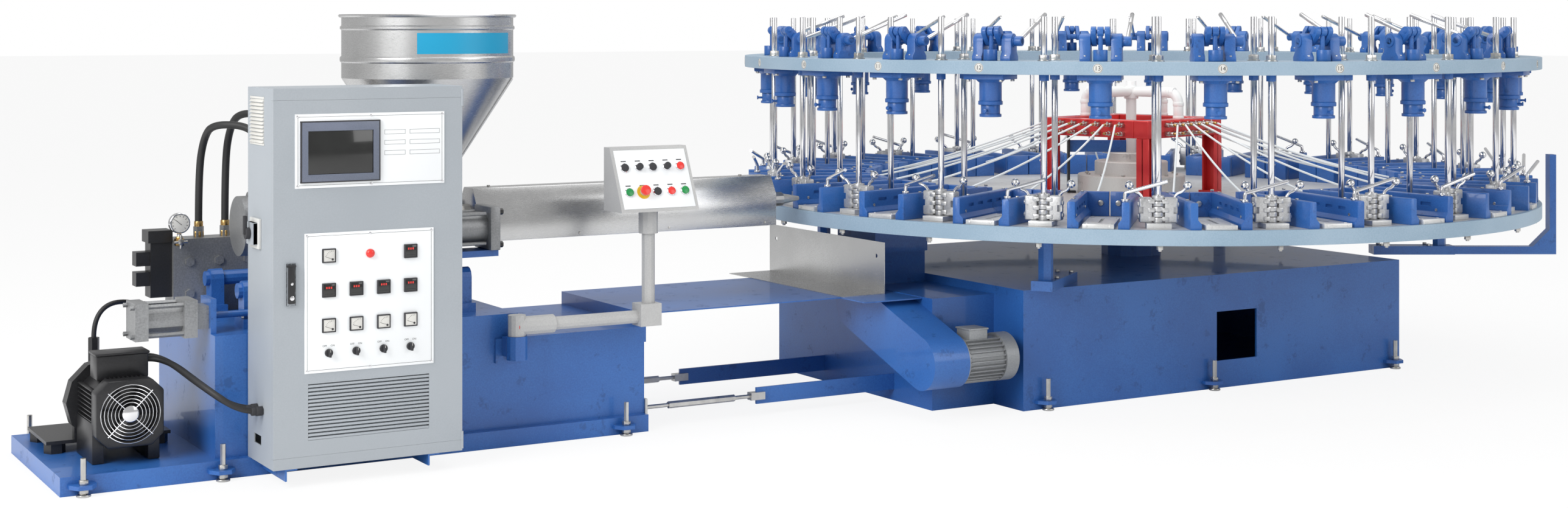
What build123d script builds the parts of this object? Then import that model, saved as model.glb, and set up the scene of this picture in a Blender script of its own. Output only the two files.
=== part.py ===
from build123d import *
import os
from math import atan, cos, degrees, hypot, pi, radians, sin

# Rotary injection moulding machine for shoe soles. Millimetres.
# Origin: the turntable's axis at floor level. +X runs away from the injection unit,
# +Y away from the operator's side, +Z up. Angles are counted from +X, anticlockwise seen from above.

os.makedirs("parts", exist_ok=True)

# Turntable
STATIONS = 24
PITCH = 360 / STATIONS
PHASE = 0.66                  # how far station 18 stands past the +X axis
WORKED_STATION = 3            # counts from -X: this one has its moving pieces as bodies of their own
TABLE_R = 1820
TABLE_TOP = 778
TABLE_T = 30
RIM_DROP = 60
RIM_T = 24
RING_INNER_R = 1470
RING_BOTTOM = 1373
RING_T = 52
SEAT = 0.3                    # what turns or slides stands this far from what carries it
FIT = 0.06                    # radial clearance of a shaft in its bore
ROUND_SIDES = 6               # repeated round pieces are prisms with this many sides
BAR_SIDES = 6
ROD_SIDES = 4
TURNED_SIDES = 12             # turned pieces that no other body runs on
RIM_SIDES = 48

# Tie bars between the table and the ring
BAR_R = 12.5
OUTER_BAR_AT = 1700
INNER_BAR_AT = 1520
BAR_TOP = 1602

# Press of one station
RAM_AT = 1700
CRANK_AT = 1653
SHAFT_UP = 78                 # shaft's height over the ring
THROW = 55
SHAFT_R = 14
PIN_R = 8
CHEEK_R = 20
CHEEK_T = 21
CHEEK_IN = 16                 # inner face of a cheek, from the station's middle
BEARING_IN = 40
BEARING_T = 42
BEARING_R = 33
BEARING_FOOT = (90, 40)       # length along the radius and height
BEARING_TOP = 40              # width of a plain bearing's top
HUB_R = 20
HUB_T = 35
LEVER_R = 8.5
LEVER_REACH = 300
LEVER_RISE = 110
SLEEVE_R = 45
SLEEVE_T = 102
FLANGE = (150, 170, 22)
RAM_R = 38.5
RAM_SHOWS = 48                # ram below its sleeve, raised
HEAD = (120, 118, 67)
HEAD_SLOT = (62, 25)
CUP_R = 28.5
CUP_BORE_R = 23.5
CUP_UP = 45                   # cup's top over the ring
ROD_L = 142
ROD_R = 9
ROD_FOOT_R = 10

# Mould bay of one station
PLATE = (300, 122, 19)
PLATE_FRONT = 1808
BAY_HALF = 76
BAY_BACK = 1250
BAY_FRONT = 1800
WALL_T = 44
WALL_H = 104
BACK_T = 40
CLAMP_BASE = (90, 97, 20)
CLAMP_H = 107
KNUCKLE_R = 24
LEAF = (46, 50)
BALL_REACH = 112
BALL_Z = 944
SHANK_R = 7
LOCK_LEVER_R = 8
LOCK_LEVER = (20, 170, 84)    # from the pin's top to the lever's end

# Hub, air and water manifold
STAY_TURN = -31
VALVE_PITCH = 66
VALVE_L = 60
HUB_DRUMS = ((250, 88), (170, 63), (110, 40))
MANIFOLD_HALF = 262           # from the axis to the middle of a side
MANIFOLD_TURN = 15            # how far its sides stand round from the axes
MANIFOLD_TUBE = 81
MANIFOLD_BOTTOM = 1052
LEG = 66
PIPE_R = 24
PIPE_RUN_Z = 1254
HOSE_R = 5
VALVES_A_SIDE = 6

# Base of the turntable
BASE_X = (-1270, 886)
BASE_Y = 830
BASE_H = 490
BASE_WALL = 10
WINDOW = (-227, 5, 118, 330)  # from x, to x, from z, to z
ANNEX_X = -1580
ANNEX_Y = (-630, 586)
ANNEX_H = 455
PEDESTAL_R = 140
TABLE_HUB_R = 160
TABLE_HUB_H = 46
ROLLER_AT = 1450
ROLLER_ANGLES = (-31, 31, 144, 216)
ROLLER_R = 26
COLUMN_R = 31
ARM_H = 40
ROLLER_START = 1130
PAD_Z = (590, 706)
UPRIGHT_AT = 1990
UPRIGHT_TOP = 958

# Levelling screws
JACK_R = 10
JACK_H = 128
EAR_Z = (26, 40)
EAR_REACH = 28                # from the frame's side to the screw
BASE_JACKS_X = (-1165, -265, 830)
BED_JACKS_X = (-4880, -4415, -2871)

# Injection bed
BED_X = (-4425, -2762)
BED_Y = 380
BED_H = 400
SKID_X = -4950
SKID_Y = 417
SKID_H = 65
SKID_T = 8
RAIL_X = -3290
RAIL_H = 490
GUIDE_Y = 210
GUIDE_Z = 620
GUIDE_R = 27.5
GUIDE_X = (-4300, -3420)
PILLOW = (64, 70)
SHIFT_X = (-4683, -4470)
SHIFT_Y = -262
SHIFT_Z = 547
SHIFT_ROD_R = 12
TIES = ((-2300, 200), (-2245, -350))
TIE_Z = 80
SHELF_Y = -560
TRAY_X = (-1860, -1650)
TRAY_Y = (-385, 552)
TRAY_TOP = 665
COVER_X = -1750
COVER_ENDS = ((-787, 227), (-275, 410))
COVER_R = 106
MOTOR_R = 97
DECK_Z = 447
DECK_T = 5

# Injection unit
BARREL_Z = 830
BARREL_R = 42
SCREW_R = 25
BARREL_X = (-3925, -1990)
NOZZLE_TIP = -1834
HOPPER_X = -3500
HOPPER_R = 328
HOPPER_TOP = 1609
HOPPER_SHOULDER = 1366
HOPPER_NECK = (62, 935)
HOPPER_BEAD = 6
HOPPER_SIDES = 16
THROAT_R = 36
BOSS_L = 125
SHEET = 3
GUARD_X = (-3335, -1995)
GUARD_HALF = 90
GUARD_Z = (731, 861, 935)
CYL_Y = 205
CYL_R = 60
CYL_PLATE = (40, 165)
CYL_X = (-3900, -3320)
CARRIAGE_X = (-4080, -3485)
CARRIAGE_TRAVEL = 100
DRIVE_X = (-4240, -3940)
DRIVE_R = 135
DRIVE_BLOCK = 100
FITTING_TOP = 1000

# Pump set
PUMP_AXIS = (-4700, 240)      # x and z
PUMP_BODY = 228
BELL_R = 150

PUMP_Y = (-330, -30)
PUMP_PORT_Z = 430
FAN_R = 90
GUARD_RINGS = (102, 76, 50)
OIL_X = (-4400, -4050)
OIL_Y = (268, 388)
OIL_TOP = 765
OIL_HOSE_Y = 330
HOSE_STARTS_X = (-4290, -4190)
HOSE_ENDS_X = (-4150, -4090)
HOSE_CREST = 1200
PRESSURE_HOSE_R = 14
SMALL_HOSE_R = 9
GAUGE = (-4390, 225, 830)
CONDUITS_Y = (-560, -500)
CONDUIT_Z = 250
CONDUIT_R = 11

# Cabinet
CAB_X = (-4312, -3634)
CAB_Y = (-680, -388)
CAB_Z = (SKID_H, 1353)
DOOR_Z = (103, 1312)
DOOR_T = 19
DOOR_GAP = 0.5
HINGE_R = 4
HINGE_L = 30
CAB_WALL = 4
UPPER_PANEL = (-4238, -3702, 1013, 1265)
SCREEN = (-4221, -3940, 1031, 1241)
LOWER_PANEL = (-4205, -3742, 383, 859)
GRILLE = (-4192, -3758, 156, 347)
GRILLE_SLATS = 15
COLUMNS = (-4121, -4024, -3926, -3828)
METER = 48
METER_ROWS = (781, 663, 543)
SWITCH_Z = 449
KNOB_R = 14

VENTS = 12
VENT_Y = (-571, -431)
VENT_Z = (1163, 1315)
OVAL = (-502, 144)
PANEL_T = 3
LAMP_X = -3974
LOCK = (-4271, -4234, 615, 763)
ISOLATOR = (-493, 852)
BRACKETS_X = (-4270, -3760)

# Pendant
SOCKET_Z = (330, 417)
SOCKET_R = 39
POST_TOP = 850
BUTTONS_X = (-2890, -2830, -2771, -2711, -2652)
BUTTON_ROWS = (80, 180)
BUTTON_R = 15
E_STOP_AT = (-2830, 80)
E_STOP_R = 20
E_STOP_STEM = 7
SOCKET = (-3330, -460)
POST_X = -2785
ARM_Z = 453
ARM_R = 26
ELBOW_R = 35
POST_R = 25
POST_Y = -460
PENDANT_X = (-2936, -2606)
PENDANT_FRONT = -540
PENDANT_Z = (858, 1100)
PENDANT_DEPTH = (157, 47)     # at the bottom and at the top


def block(x, y, z):
    """A box between two values along each axis."""
    size = [abs(v[1] - v[0]) for v in (x, y, z)]
    middle = [(v[0] + v[1]) / 2 for v in (x, y, z)]
    return Pos(*middle) * Box(*size)


def bar(start, end, radius, sides=TURNED_SIDES):
    """A turned bar between two points; with no sides it is truly round, as a running fit needs."""
    span = Vector(*end) - Vector(*start)
    plane = Plane(origin=start, z_dir=span)
    outline = RegularPolygon(radius, sides) if sides else Circle(radius)
    return extrude(plane * outline, span.length)


def cone(start, end, r_start, r_end, sides=TURNED_SIDES):
    """A tapered bar between two points, with flat sides."""
    span = Vector(*end) - Vector(*start)
    face = Plane(origin=start, z_dir=span) * RegularPolygon(r_start, sides)
    lean = degrees(atan((r_start - r_end) * cos(pi / sides) / span.length))
    return extrude(face, span.length, taper=lean)


def turned(profile, sides):
    """Stacked steps about the Z axis, each given as its two heights and its two radii."""
    body = None
    for low, high, r_low, r_high in profile:
        start, end = (0, 0, low), (0, 0, high)
        same = abs(r_low - r_high) < 1e-6
        step = bar(start, end, r_low, sides) if same else cone(start, end, r_low, r_high, sides)
        body = step if body is None else body + step
    return body


def bent_bar(points, radius, sides):
    """A bar along straight runs with mitred corners."""
    plane = Plane(origin=points[0], z_dir=Vector(*points[1]) - Vector(*points[0]))
    path = Polyline(*points)
    return sweep(plane * RegularPolygon(radius, sides), path=path, transition=Transition.RIGHT)


def side_profile(points, y):
    """A plate with an outline in x and z, between two values of y."""
    face = make_face(Plane.XZ * Polyline(*points, close=True))
    return Pos(0, y[1], 0) * extrude(face, y[1] - y[0])


def end_profile(points, x):
    """A bar with an outline in y and z, between two values of x."""
    face = make_face(Plane.YZ * Polyline(*points, close=True))
    return Pos(x[0], 0, 0) * extrude(face, x[1] - x[0])


def bent_tube(points, radius, sides=0, share=0.45):
    """A tube along straight runs, each corner rounded as far as its two runs allow."""
    knots = [Vector(*p) for p in points]
    radii = []
    for before, corner, after in zip(knots, knots[1:], knots[2:]):
        turn = radians((corner - before).get_angle(after - corner))
        shorter = min((corner - before).length, (after - corner).length)
        radii.append(share * shorter / max(sin(turn / 2) / cos(turn / 2), 1e-3))
    path = FilletPolyline(*knots, radius=radii) if radii else Line(*knots)
    outline = RegularPolygon(radius, sides) if sides else Circle(radius)
    start = Plane(origin=knots[0], z_dir=knots[1] - knots[0])
    return sweep(start * outline, path=path)


def jack(x, y):
    """A levelling screw standing on the floor."""
    return bar((x, y, 0), (x, y, JACK_H), JACK_R, BAR_SIDES)


def jack_ear(x, side, edge):
    """A plate with cut corners, welded to a frame's side, that a levelling screw stands in."""
    tip, root = side * (edge + 2 * EAR_REACH), side * (edge - 4)
    outline = [(x - 45, root), (x + 45, root), (x + 45, side * (edge + 20)), (x + 22, tip),
               (x - 22, tip), (x - 45, side * (edge + 20))]
    face = make_face(Plane.XY * Polyline(*outline, close=True))
    plate = extrude(Pos(0, 0, EAR_Z[0]) * face, EAR_Z[1] - EAR_Z[0], dir=(0, 0, 1))
    y = side * (edge + EAR_REACH)
    return plate - bar((x, y, 0), (x, y, 80), JACK_R + FIT, BAR_SIDES)


def angles(skip_worked=False):
    """The angle of every station, counted from the injection side."""
    return [
        180 + k * PITCH + PHASE
        for k in range(STATIONS)
        if not (skip_worked and k == WORKED_STATION)
    ]


def copies(pieces, turns):
    """Every piece once at each angle about the turntable's axis."""
    return [Rot(0, 0, turn) * piece for turn in turns for piece in pieces]


RING_TOP = RING_BOTTOM + RING_T
SHAFT_Z = RING_TOP + SHAFT_UP
WORKED_ANGLE = 180 + WORKED_STATION * PITCH + PHASE
PIN_X = CRANK_AT + THROW * cos(radians(45))
PIN_Z = SHAFT_Z + THROW * sin(radians(45))
SLEEVE_BOTTOM = RING_BOTTOM - FLANGE[2] - SLEEVE_T
HEAD_TOP = SLEEVE_BOTTOM - RAM_SHOWS
HEAD_BOTTOM = HEAD_TOP - HEAD[2]
BEARING_OUT = BEARING_IN + BEARING_T
CHEEK_OUT = CHEEK_IN + CHEEK_T
BAR_TURN = PITCH / 2


# Turntable

def lower_table():
    """Disc with its turned-down rim and hub, and the base plates of the mould bays."""
    under, rim_bottom = TABLE_TOP - TABLE_T, TABLE_TOP - RIM_DROP
    disc = turned([
        (under - TABLE_HUB_H, under, TABLE_HUB_R, TABLE_HUB_R),
    ], TURNED_SIDES)
    rim = turned([(rim_bottom, TABLE_TOP, TABLE_R, TABLE_R)], RIM_SIDES)
    rim -= turned([(rim_bottom, under, TABLE_R - RIM_T, TABLE_R - RIM_T)], RIM_SIDES)
    plate = block(
        (PLATE_FRONT - PLATE[0], PLATE_FRONT), (-PLATE[1] / 2, PLATE[1] / 2),
        (TABLE_TOP, TABLE_TOP + PLATE[2]),
    )
    return [rim + disc] + copies([plate], angles())


def upper_ring():
    """Flat ring that the presses stand on, bored where a ram works through it."""
    ram_hole = bar((RAM_AT, 0, RING_BOTTOM), (RAM_AT, 0, RING_TOP), CUP_R + 2.5)
    ring = turned([(RING_BOTTOM, RING_TOP, TABLE_R, TABLE_R)], RIM_SIDES)
    ring -= turned([(RING_BOTTOM, RING_TOP, RING_INNER_R, RING_INNER_R)], RIM_SIDES)
    return [ring - Rot(0, 0, WORKED_ANGLE) * ram_hole]


def tie_bars():
    """Two rows of bars that hold the ring over the table, and their ends above the ring."""
    knuckle_top = TABLE_TOP + CLAMP_BASE[2] + CLAMP_H
    pieces = []
    for at, foot in ((OUTER_BAR_AT, knuckle_top), (INNER_BAR_AT, TABLE_TOP)):
        pieces.append(bar((at, 0, foot), (at, 0, RING_BOTTOM), BAR_R, BAR_SIDES))
        pieces.append(bar((at, 0, RING_TOP), (at, 0, BAR_TOP), BAR_R, ROD_SIDES))
    return copies(pieces, [a + BAR_TURN for a in angles()])


def bearing(side, bored):
    """A pedestal bearing of the crankshaft, bored where it carries a body."""
    foot, rise = BEARING_FOOT[0] / 2, RING_TOP + BEARING_FOOT[1]
    y = sorted((side * BEARING_IN, side * BEARING_OUT))
    if not bored:
        right = [(foot, RING_TOP), (BEARING_TOP / 2, SHAFT_Z + BEARING_R)]
        outline = right + [(-x, z) for x, z in reversed(right)]
        return side_profile([(CRANK_AT + x, z) for x, z in outline], y)
    body = block((CRANK_AT - foot, CRANK_AT + foot), y, (RING_TOP, rise))
    body += block((CRANK_AT - BEARING_R, CRANK_AT + BEARING_R), y, (rise, SHAFT_Z))
    body += bar((CRANK_AT, y[0], SHAFT_Z), (CRANK_AT, y[1], SHAFT_Z), BEARING_R)
    return body - bar((CRANK_AT, y[0], SHAFT_Z), (CRANK_AT, y[1], SHAFT_Z), SHAFT_R + FIT, 0)


def flange():
    return block(
        (RAM_AT - FLANGE[0] / 2, RAM_AT + FLANGE[0] / 2), (-FLANGE[1] / 2, FLANGE[1] / 2),
        (RING_BOTTOM - FLANGE[2], RING_BOTTOM),
    )


def press_frames():
    top = RING_BOTTOM - FLANGE[2]
    plain = [bearing(1, False), bearing(-1, False)]
    plain += [flange(), bar((RAM_AT, 0, SLEEVE_BOTTOM), (RAM_AT, 0, top), SLEEVE_R, ROUND_SIDES)]
    sleeve = flange() + bar((RAM_AT, 0, SLEEVE_BOTTOM), (RAM_AT, 0, top), SLEEVE_R)
    sleeve -= bar((RAM_AT, 0, SLEEVE_BOTTOM), (RAM_AT, 0, RING_BOTTOM), RAM_R + FIT, 0)
    worked = [bearing(1, True), bearing(-1, True), sleeve]
    return copies(plain, angles(skip_worked=True)) + copies(worked, [WORKED_ANGLE])


def head_block():
    return block(
        (RAM_AT - HEAD[0] / 2, RAM_AT + HEAD[0] / 2), (-HEAD[1] / 2, HEAD[1] / 2),
        (HEAD_BOTTOM, HEAD_TOP),
    )


def slotted_head():
    """Head of the worked station, with the slot across its underside."""
    slot = block(
        (RAM_AT - HEAD[0], RAM_AT + HEAD[0]), (-HEAD_SLOT[0] / 2, HEAD_SLOT[0] / 2),
        (HEAD_BOTTOM - 1, HEAD_BOTTOM + HEAD_SLOT[1]),
    )
    return head_block() - slot


def press_rams():
    """Heads, rams and collars of the stations that stay still."""
    ram = bar((RAM_AT, 0, HEAD_TOP), (RAM_AT, 0, SLEEVE_BOTTOM), RAM_R, ROD_SIDES)
    collar = bar((RAM_AT, 0, RING_TOP), (RAM_AT, 0, RING_TOP + CUP_UP), CUP_R, BAR_SIDES)
    return copies([head_block(), ram, collar], angles(skip_worked=True))


def lever_points():
    """Where the hand lever leaves its hub and where it ends."""
    length = hypot(LEVER_REACH, LEVER_RISE)
    y = BEARING_OUT + HUB_T / 2 + SEAT
    inside = (HUB_R + SEAT) / length
    start = (CRANK_AT - LEVER_REACH * inside, y, SHAFT_Z + LEVER_RISE * inside)
    return start, (CRANK_AT - LEVER_REACH, y, SHAFT_Z + LEVER_RISE)


def press_cranks():
    """Cranks with rods and hand levers of the stations that stay still."""
    half, t = CHEEK_R * 0.8, BEARING_IN - CHEEK_IN
    pieces = []
    for side in (1, -1):
        arm = Pos(THROW / 2, 0, 0) * Box(THROW + 2 * CHEEK_R, t, 2 * half)
        turned = Pos(CRANK_AT, side * (CHEEK_IN + t / 2), SHAFT_Z) * Rot(0, -45, 0) * arm
        pieces.append(turned)
    pieces.append(bar((PIN_X, 0, RING_TOP + CUP_UP), (PIN_X, 0, PIN_Z + 6), CHEEK_IN - 2, ROD_SIDES))
    low, high = (CRANK_AT, BEARING_OUT, SHAFT_Z), (CRANK_AT, BEARING_OUT + HUB_T, SHAFT_Z)
    start, end = lever_points()
    pieces += [bar(low, high, HUB_R, ROD_SIDES), bar(start, end, LEVER_R, ROD_SIDES)]
    return copies(pieces, angles(skip_worked=True))


def cheek(side):
    """Crank web: a link with round ends, leaning at 45 degrees."""
    y = sorted((side * CHEEK_IN, side * CHEEK_OUT))
    outline = []
    for centre, away in ((0, 180), (THROW, 0)):
        for turn in (-90, -45, 0, 45, 90):
            at = radians(away + turn)
            outline.append((centre + CHEEK_R * cos(at), CHEEK_R * sin(at)))
    link = extrude(Plane.XZ * make_face(Polyline(*outline, close=True)), y[0] - y[1])
    return Pos(CRANK_AT, y[0], SHAFT_Z) * Rot(0, -45, 0) * link


def crank():
    """Crankshaft of the worked station: shaft ends, cheeks, pin, hub and hand lever."""
    out = BEARING_OUT + HUB_T + SEAT
    body = cheek(1) + cheek(-1)
    body += bar((PIN_X, -CHEEK_IN, PIN_Z), (PIN_X, CHEEK_IN, PIN_Z), PIN_R, 0)
    body += bar((CRANK_AT, -BEARING_OUT, SHAFT_Z), (CRANK_AT, -CHEEK_IN, SHAFT_Z), SHAFT_R, 0)
    body += bar((CRANK_AT, CHEEK_IN, SHAFT_Z), (CRANK_AT, out, SHAFT_Z), SHAFT_R, 0)
    body += bar((CRANK_AT, BEARING_OUT + SEAT, SHAFT_Z), (CRANK_AT, out, SHAFT_Z), HUB_R)
    _, end = lever_points()
    body += bar((CRANK_AT, end[1], SHAFT_Z), end, LEVER_R, ROUND_SIDES)
    return copies([body], [WORKED_ANGLE])


def connecting_rod():
    half = CHEEK_IN - 4
    eye = bar((PIN_X, -half, PIN_Z), (PIN_X, half, PIN_Z), CHEEK_R - 1)
    stem = bar((PIN_X, 0, PIN_Z), (PIN_X, 0, PIN_Z - ROD_L), ROD_R)
    foot = bar((PIN_X, -half + 2, PIN_Z - ROD_L), (PIN_X, half - 2, PIN_Z - ROD_L), ROD_FOOT_R)
    bore = bar((PIN_X, -half, PIN_Z), (PIN_X, half, PIN_Z), PIN_R + FIT, 0)
    return copies([eye + stem + foot - bore], [WORKED_ANGLE])


def press_ram():
    """Ram of the worked station: head with its slot, round ram and the cup over the ring."""
    ram_top = RING_BOTTOM - 1
    floor = PIN_Z - ROD_L - ROD_FOOT_R - 4
    body = slotted_head() + bar((RAM_AT, 0, HEAD_TOP), (RAM_AT, 0, ram_top), RAM_R, 0)
    body += bar((RAM_AT, 0, ram_top), (RAM_AT, 0, RING_TOP + CUP_UP), CUP_R)
    body -= bar((RAM_AT, 0, floor), (RAM_AT, 0, RING_TOP + CUP_UP), CUP_BORE_R * 1.035)
    return copies([body], [WORKED_ANGLE])


def mould_wall(side):
    """One side wall of a mould bay."""
    y = sorted((side * BAY_HALF, side * (BAY_HALF + WALL_T)))
    return block((BAY_BACK, BAY_FRONT), y, (TABLE_TOP, TABLE_TOP + WALL_H))


def mould_walls():
    """Back plates of every bay, and the side walls of the bays that stay still."""
    half = BAY_HALF + WALL_T
    back = block((BAY_BACK - BACK_T, BAY_BACK), (-half, half), (TABLE_TOP, TABLE_TOP + WALL_H))
    still = copies([mould_wall(1), mould_wall(-1)], angles(skip_worked=True))
    return copies([back], angles()) + still


def lock_lever():
    """Cam pin and bent hand lever on top of a bay's right wall."""
    x, y, z = BAY_FRONT - 38, BAY_HALF + WALL_T / 2, TABLE_TOP + WALL_H
    end = (x + LOCK_LEVER[0], y + LOCK_LEVER[1], z + LOCK_LEVER[2])
    return bent_bar([(x, y, z + SEAT), (x, y, z + 34), end], LOCK_LEVER_R, ROD_SIDES)


def clamp_units():
    """Clamp hinges between the bays, with the ball handles' shanks and the lock levers."""
    low = TABLE_TOP + CLAMP_BASE[2]
    base = block(
        (OUTER_BAR_AT - 25, OUTER_BAR_AT - 25 + CLAMP_BASE[0]),
        (-CLAMP_BASE[1] / 2, CLAMP_BASE[1] / 2), (TABLE_TOP, low),
    )
    knuckle = bar((OUTER_BAR_AT, 0, low), (OUTER_BAR_AT, 0, low + CLAMP_H), KNUCKLE_R, BAR_SIDES)
    pieces = [base, knuckle]
    near, leaf_top = KNUCKLE_R + 1, low + CLAMP_H - 8
    for side in (1, -1):
        y = sorted((side * near, side * (near + LEAF[1])))
        x = (OUTER_BAR_AT - LEAF[0] / 2, OUTER_BAR_AT + LEAF[0] / 2)
        pieces.append(block(x, y, (low, leaf_top)))
        foot = (OUTER_BAR_AT, side * (near + LEAF[1] - 12), leaf_top + SHANK_R * 0.6)
        ball = (OUTER_BAR_AT + 12, side * BALL_REACH, BALL_Z)
        pieces.append(bar(foot, ball, SHANK_R, ROD_SIDES))
    still = copies([lock_lever()], angles(skip_worked=True))
    return copies(pieces, [a + BAR_TURN for a in angles()]) + still


def clamp_lever():
    """Lock lever of the worked station."""
    return copies([lock_lever()], [WORKED_ANGLE])


# Hub and manifold

def hub_drum():
    """Stepped drum at the table's middle, with the flat stay that holds its swivel joint."""
    low = TABLE_TOP
    drum = None
    for radius, height in HUB_DRUMS:
        step = bar((0, 0, low), (0, 0, low + height), radius)
        drum = step if drum is None else drum + step
        low += height
    reach = HUB_DRUMS[0][0] + 40
    stay = block((-reach, HUB_DRUMS[2][0]), (-4, 4), (low, low + 56))
    post = block((-reach - 10, -reach), (-22, 22), (TABLE_TOP, low + 76))
    bore = bar((0, 0, low), (0, 0, low + 56), PIPE_R * 1.05)
    return [drum] + [Rot(0, 0, STAY_TURN) * piece for piece in (stay - bore, post)]


def manifold_frame():
    """Square ring of box tube on four legs, with the rows of outlet valves on its sides."""
    half, wall = MANIFOLD_HALF, MANIFOLD_TUBE / 2
    top = MANIFOLD_BOTTOM + MANIFOLD_TUBE
    side = block((half - wall, half + wall), (-half - wall, half - wall), (MANIFOLD_BOTTOM, top))
    pieces = [Rot(0, 0, 90 * quarter) * side for quarter in range(4)]
    for sx in (1, -1):
        for sy in (1, -1):
            x, y = sx * (half + wall - LEG / 2), sy * (half + wall - LEG / 2)
            pieces.append(block((x - LEG / 2, x + LEG / 2), (y - LEG / 2, y + LEG / 2),
                                (TABLE_TOP, MANIFOLD_BOTTOM)))
    face = half + wall
    for quarter in range(4):
        for k in range(VALVES_A_SIDE):
            y, z = (k - (VALVES_A_SIDE - 1) / 2) * VALVE_PITCH, top - 22
            valve = bar((face, y, z), (face + VALVE_L, y, z), 11, ROD_SIDES)
            pieces.append(Rot(0, 0, 90 * quarter) * valve)
    return [Rot(0, 0, MANIFOLD_TURN) * piece for piece in pieces]


def water_pipes():
    """White pipes from the swivel joint at the hub down to the manifold."""
    hub_top = TABLE_TOP + sum(height for _, height in HUB_DRUMS)
    top = MANIFOLD_BOTTOM + MANIFOLD_TUBE
    body = bar((0, 0, hub_top), (0, 0, PIPE_RUN_Z + PIPE_R + 30), PIPE_R, 0)
    body += bar((0, 0, PIPE_RUN_Z - PIPE_R - 10), (0, 0, PIPE_RUN_Z + PIPE_R), PIPE_R + 11)
    for quarter in range(4):
        turn = radians(MANIFOLD_TURN + 90 * quarter)
        x, y = MANIFOLD_HALF * cos(turn), MANIFOLD_HALF * sin(turn)
        body += bar((0, 0, PIPE_RUN_Z), (x, y, PIPE_RUN_Z), PIPE_R, ROUND_SIDES)
        body += bar((x, y, top), (x, y, PIPE_RUN_Z + PIPE_R + 6), PIPE_R + 2, ROUND_SIDES)
    return [body]


def hose_route(k):
    """Points of one clear hose, from its valve down to the back of the nearest mould bay."""
    quarter, place = divmod(k, VALVES_A_SIDE)
    face = MANIFOLD_HALF + MANIFOLD_TUBE / 2 + VALVE_L
    y = (place - (VALVES_A_SIDE - 1) / 2) * VALVE_PITCH
    turn = radians(MANIFOLD_TURN + 90 * quarter)
    start = (face * cos(turn) - y * sin(turn), face * sin(turn) + y * cos(turn))
    bay = degrees(turn) + PHASE + (place - VALVES_A_SIDE / 2) * PITCH
    end = Vector(BAY_BACK - BACK_T - HOSE_R, -60, 0).rotate(Axis.Z, bay)
    out = Vector(1, 0, 0).rotate(Axis.Z, degrees(turn))
    start = Vector(*start, MANIFOLD_BOTTOM + MANIFOLD_TUBE - 22)
    end += Vector(0, 0, TABLE_TOP + WALL_H - 30)
    bend = start + (end - start) * 0.55
    bend = Vector(bend.X, bend.Y, TABLE_TOP + 150)
    lean = radians((bend - start).get_angle(out))
    return [start + out * HOSE_R * sin(lean), bend, end]


def air_hoses():
    """Clear hoses from the manifold's valves to the mould bays."""
    return [bent_bar(hose_route(k), HOSE_R, ROD_SIDES) for k in range(STATIONS)]


# Base of the turntable

def turntable_base():
    """Welded box with a window in front and back, annex, pedestal and levelling ears."""
    wall = BASE_WALL
    shell = block(BASE_X, (-BASE_Y, BASE_Y), (0, BASE_H))
    shell -= block((BASE_X[0] + wall, BASE_X[1] - wall), (wall - BASE_Y, BASE_Y - wall),
                   (wall, BASE_H - wall))
    shell -= block(WINDOW[:2], (-BASE_Y, BASE_Y), WINDOW[2:])
    annex = block((ANNEX_X, BASE_X[0]), ANNEX_Y, (0, ANNEX_H))
    annex += block((ANNEX_X + 60, BASE_X[0]), (-130, 130), (ANNEX_H, PAD_Z[0]))
    annex += block((ANNEX_X + 40, BASE_X[0]), (-150, 150), PAD_Z)
    table_seat = TABLE_TOP - TABLE_T - TABLE_HUB_H - SEAT
    pedestal = bar((0, 0, BASE_H - wall), (0, 0, table_seat), PEDESTAL_R)
    body = shell + annex + pedestal
    for x in BASE_JACKS_X:
        for side in (1, -1):
            body += jack_ear(x, side, BASE_Y)
    return [body]


def roller_arm(turn):
    """Channel arm from the base with the column and roller that carry the table near its rim."""
    under, low = TABLE_TOP - TABLE_T, BASE_H
    axle = under - ROLLER_R - SEAT
    shoulder = axle - ROLLER_R - 8
    arm = block((ROLLER_START, ROLLER_AT + 60), (-45, 45), (low, low + ARM_H))
    column = bar((ROLLER_AT, 0, low + ARM_H), (ROLLER_AT, 0, shoulder), COLUMN_R, ROUND_SIDES)
    fork = block((ROLLER_AT - 30, ROLLER_AT + 30), (-34, 34), (shoulder, axle + 12))
    fork -= block((ROLLER_AT - 30, ROLLER_AT + 30), (-22, 22), (shoulder + 8, axle + 12))
    roller = bar((ROLLER_AT, -21, axle), (ROLLER_AT, 21, axle), ROLLER_R, 8)
    return [Rot(0, 0, turn) * piece for piece in (arm, column, fork, roller)]


def ring_support():
    return [piece for turn in ROLLER_ANGLES for piece in roller_arm(turn)]


def safety_rail():
    """Channel from the front arm out past the table, with its upright and gusset."""
    low = BASE_H
    rail = [
        (ROLLER_AT + 60, low), (UPRIGHT_AT, low), (UPRIGHT_AT, UPRIGHT_TOP),
        (UPRIGHT_AT - 30, UPRIGHT_TOP), (UPRIGHT_AT - 30, low + 116),
        (UPRIGHT_AT - 110, low + 36), (ROLLER_AT + 60, low + 36),
    ]
    return [Rot(0, 0, ROLLER_ANGLES[0]) * side_profile(rail, (-28, 28))]


def leveling_bolts():
    bolts = []
    for side in (1, -1):
        bolts += [jack(x, side * (BASE_Y + EAR_REACH)) for x in BASE_JACKS_X]
        bolts += [jack(x, side * (SKID_Y + EAR_REACH)) for x in BED_JACKS_X]
    return bolts


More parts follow.
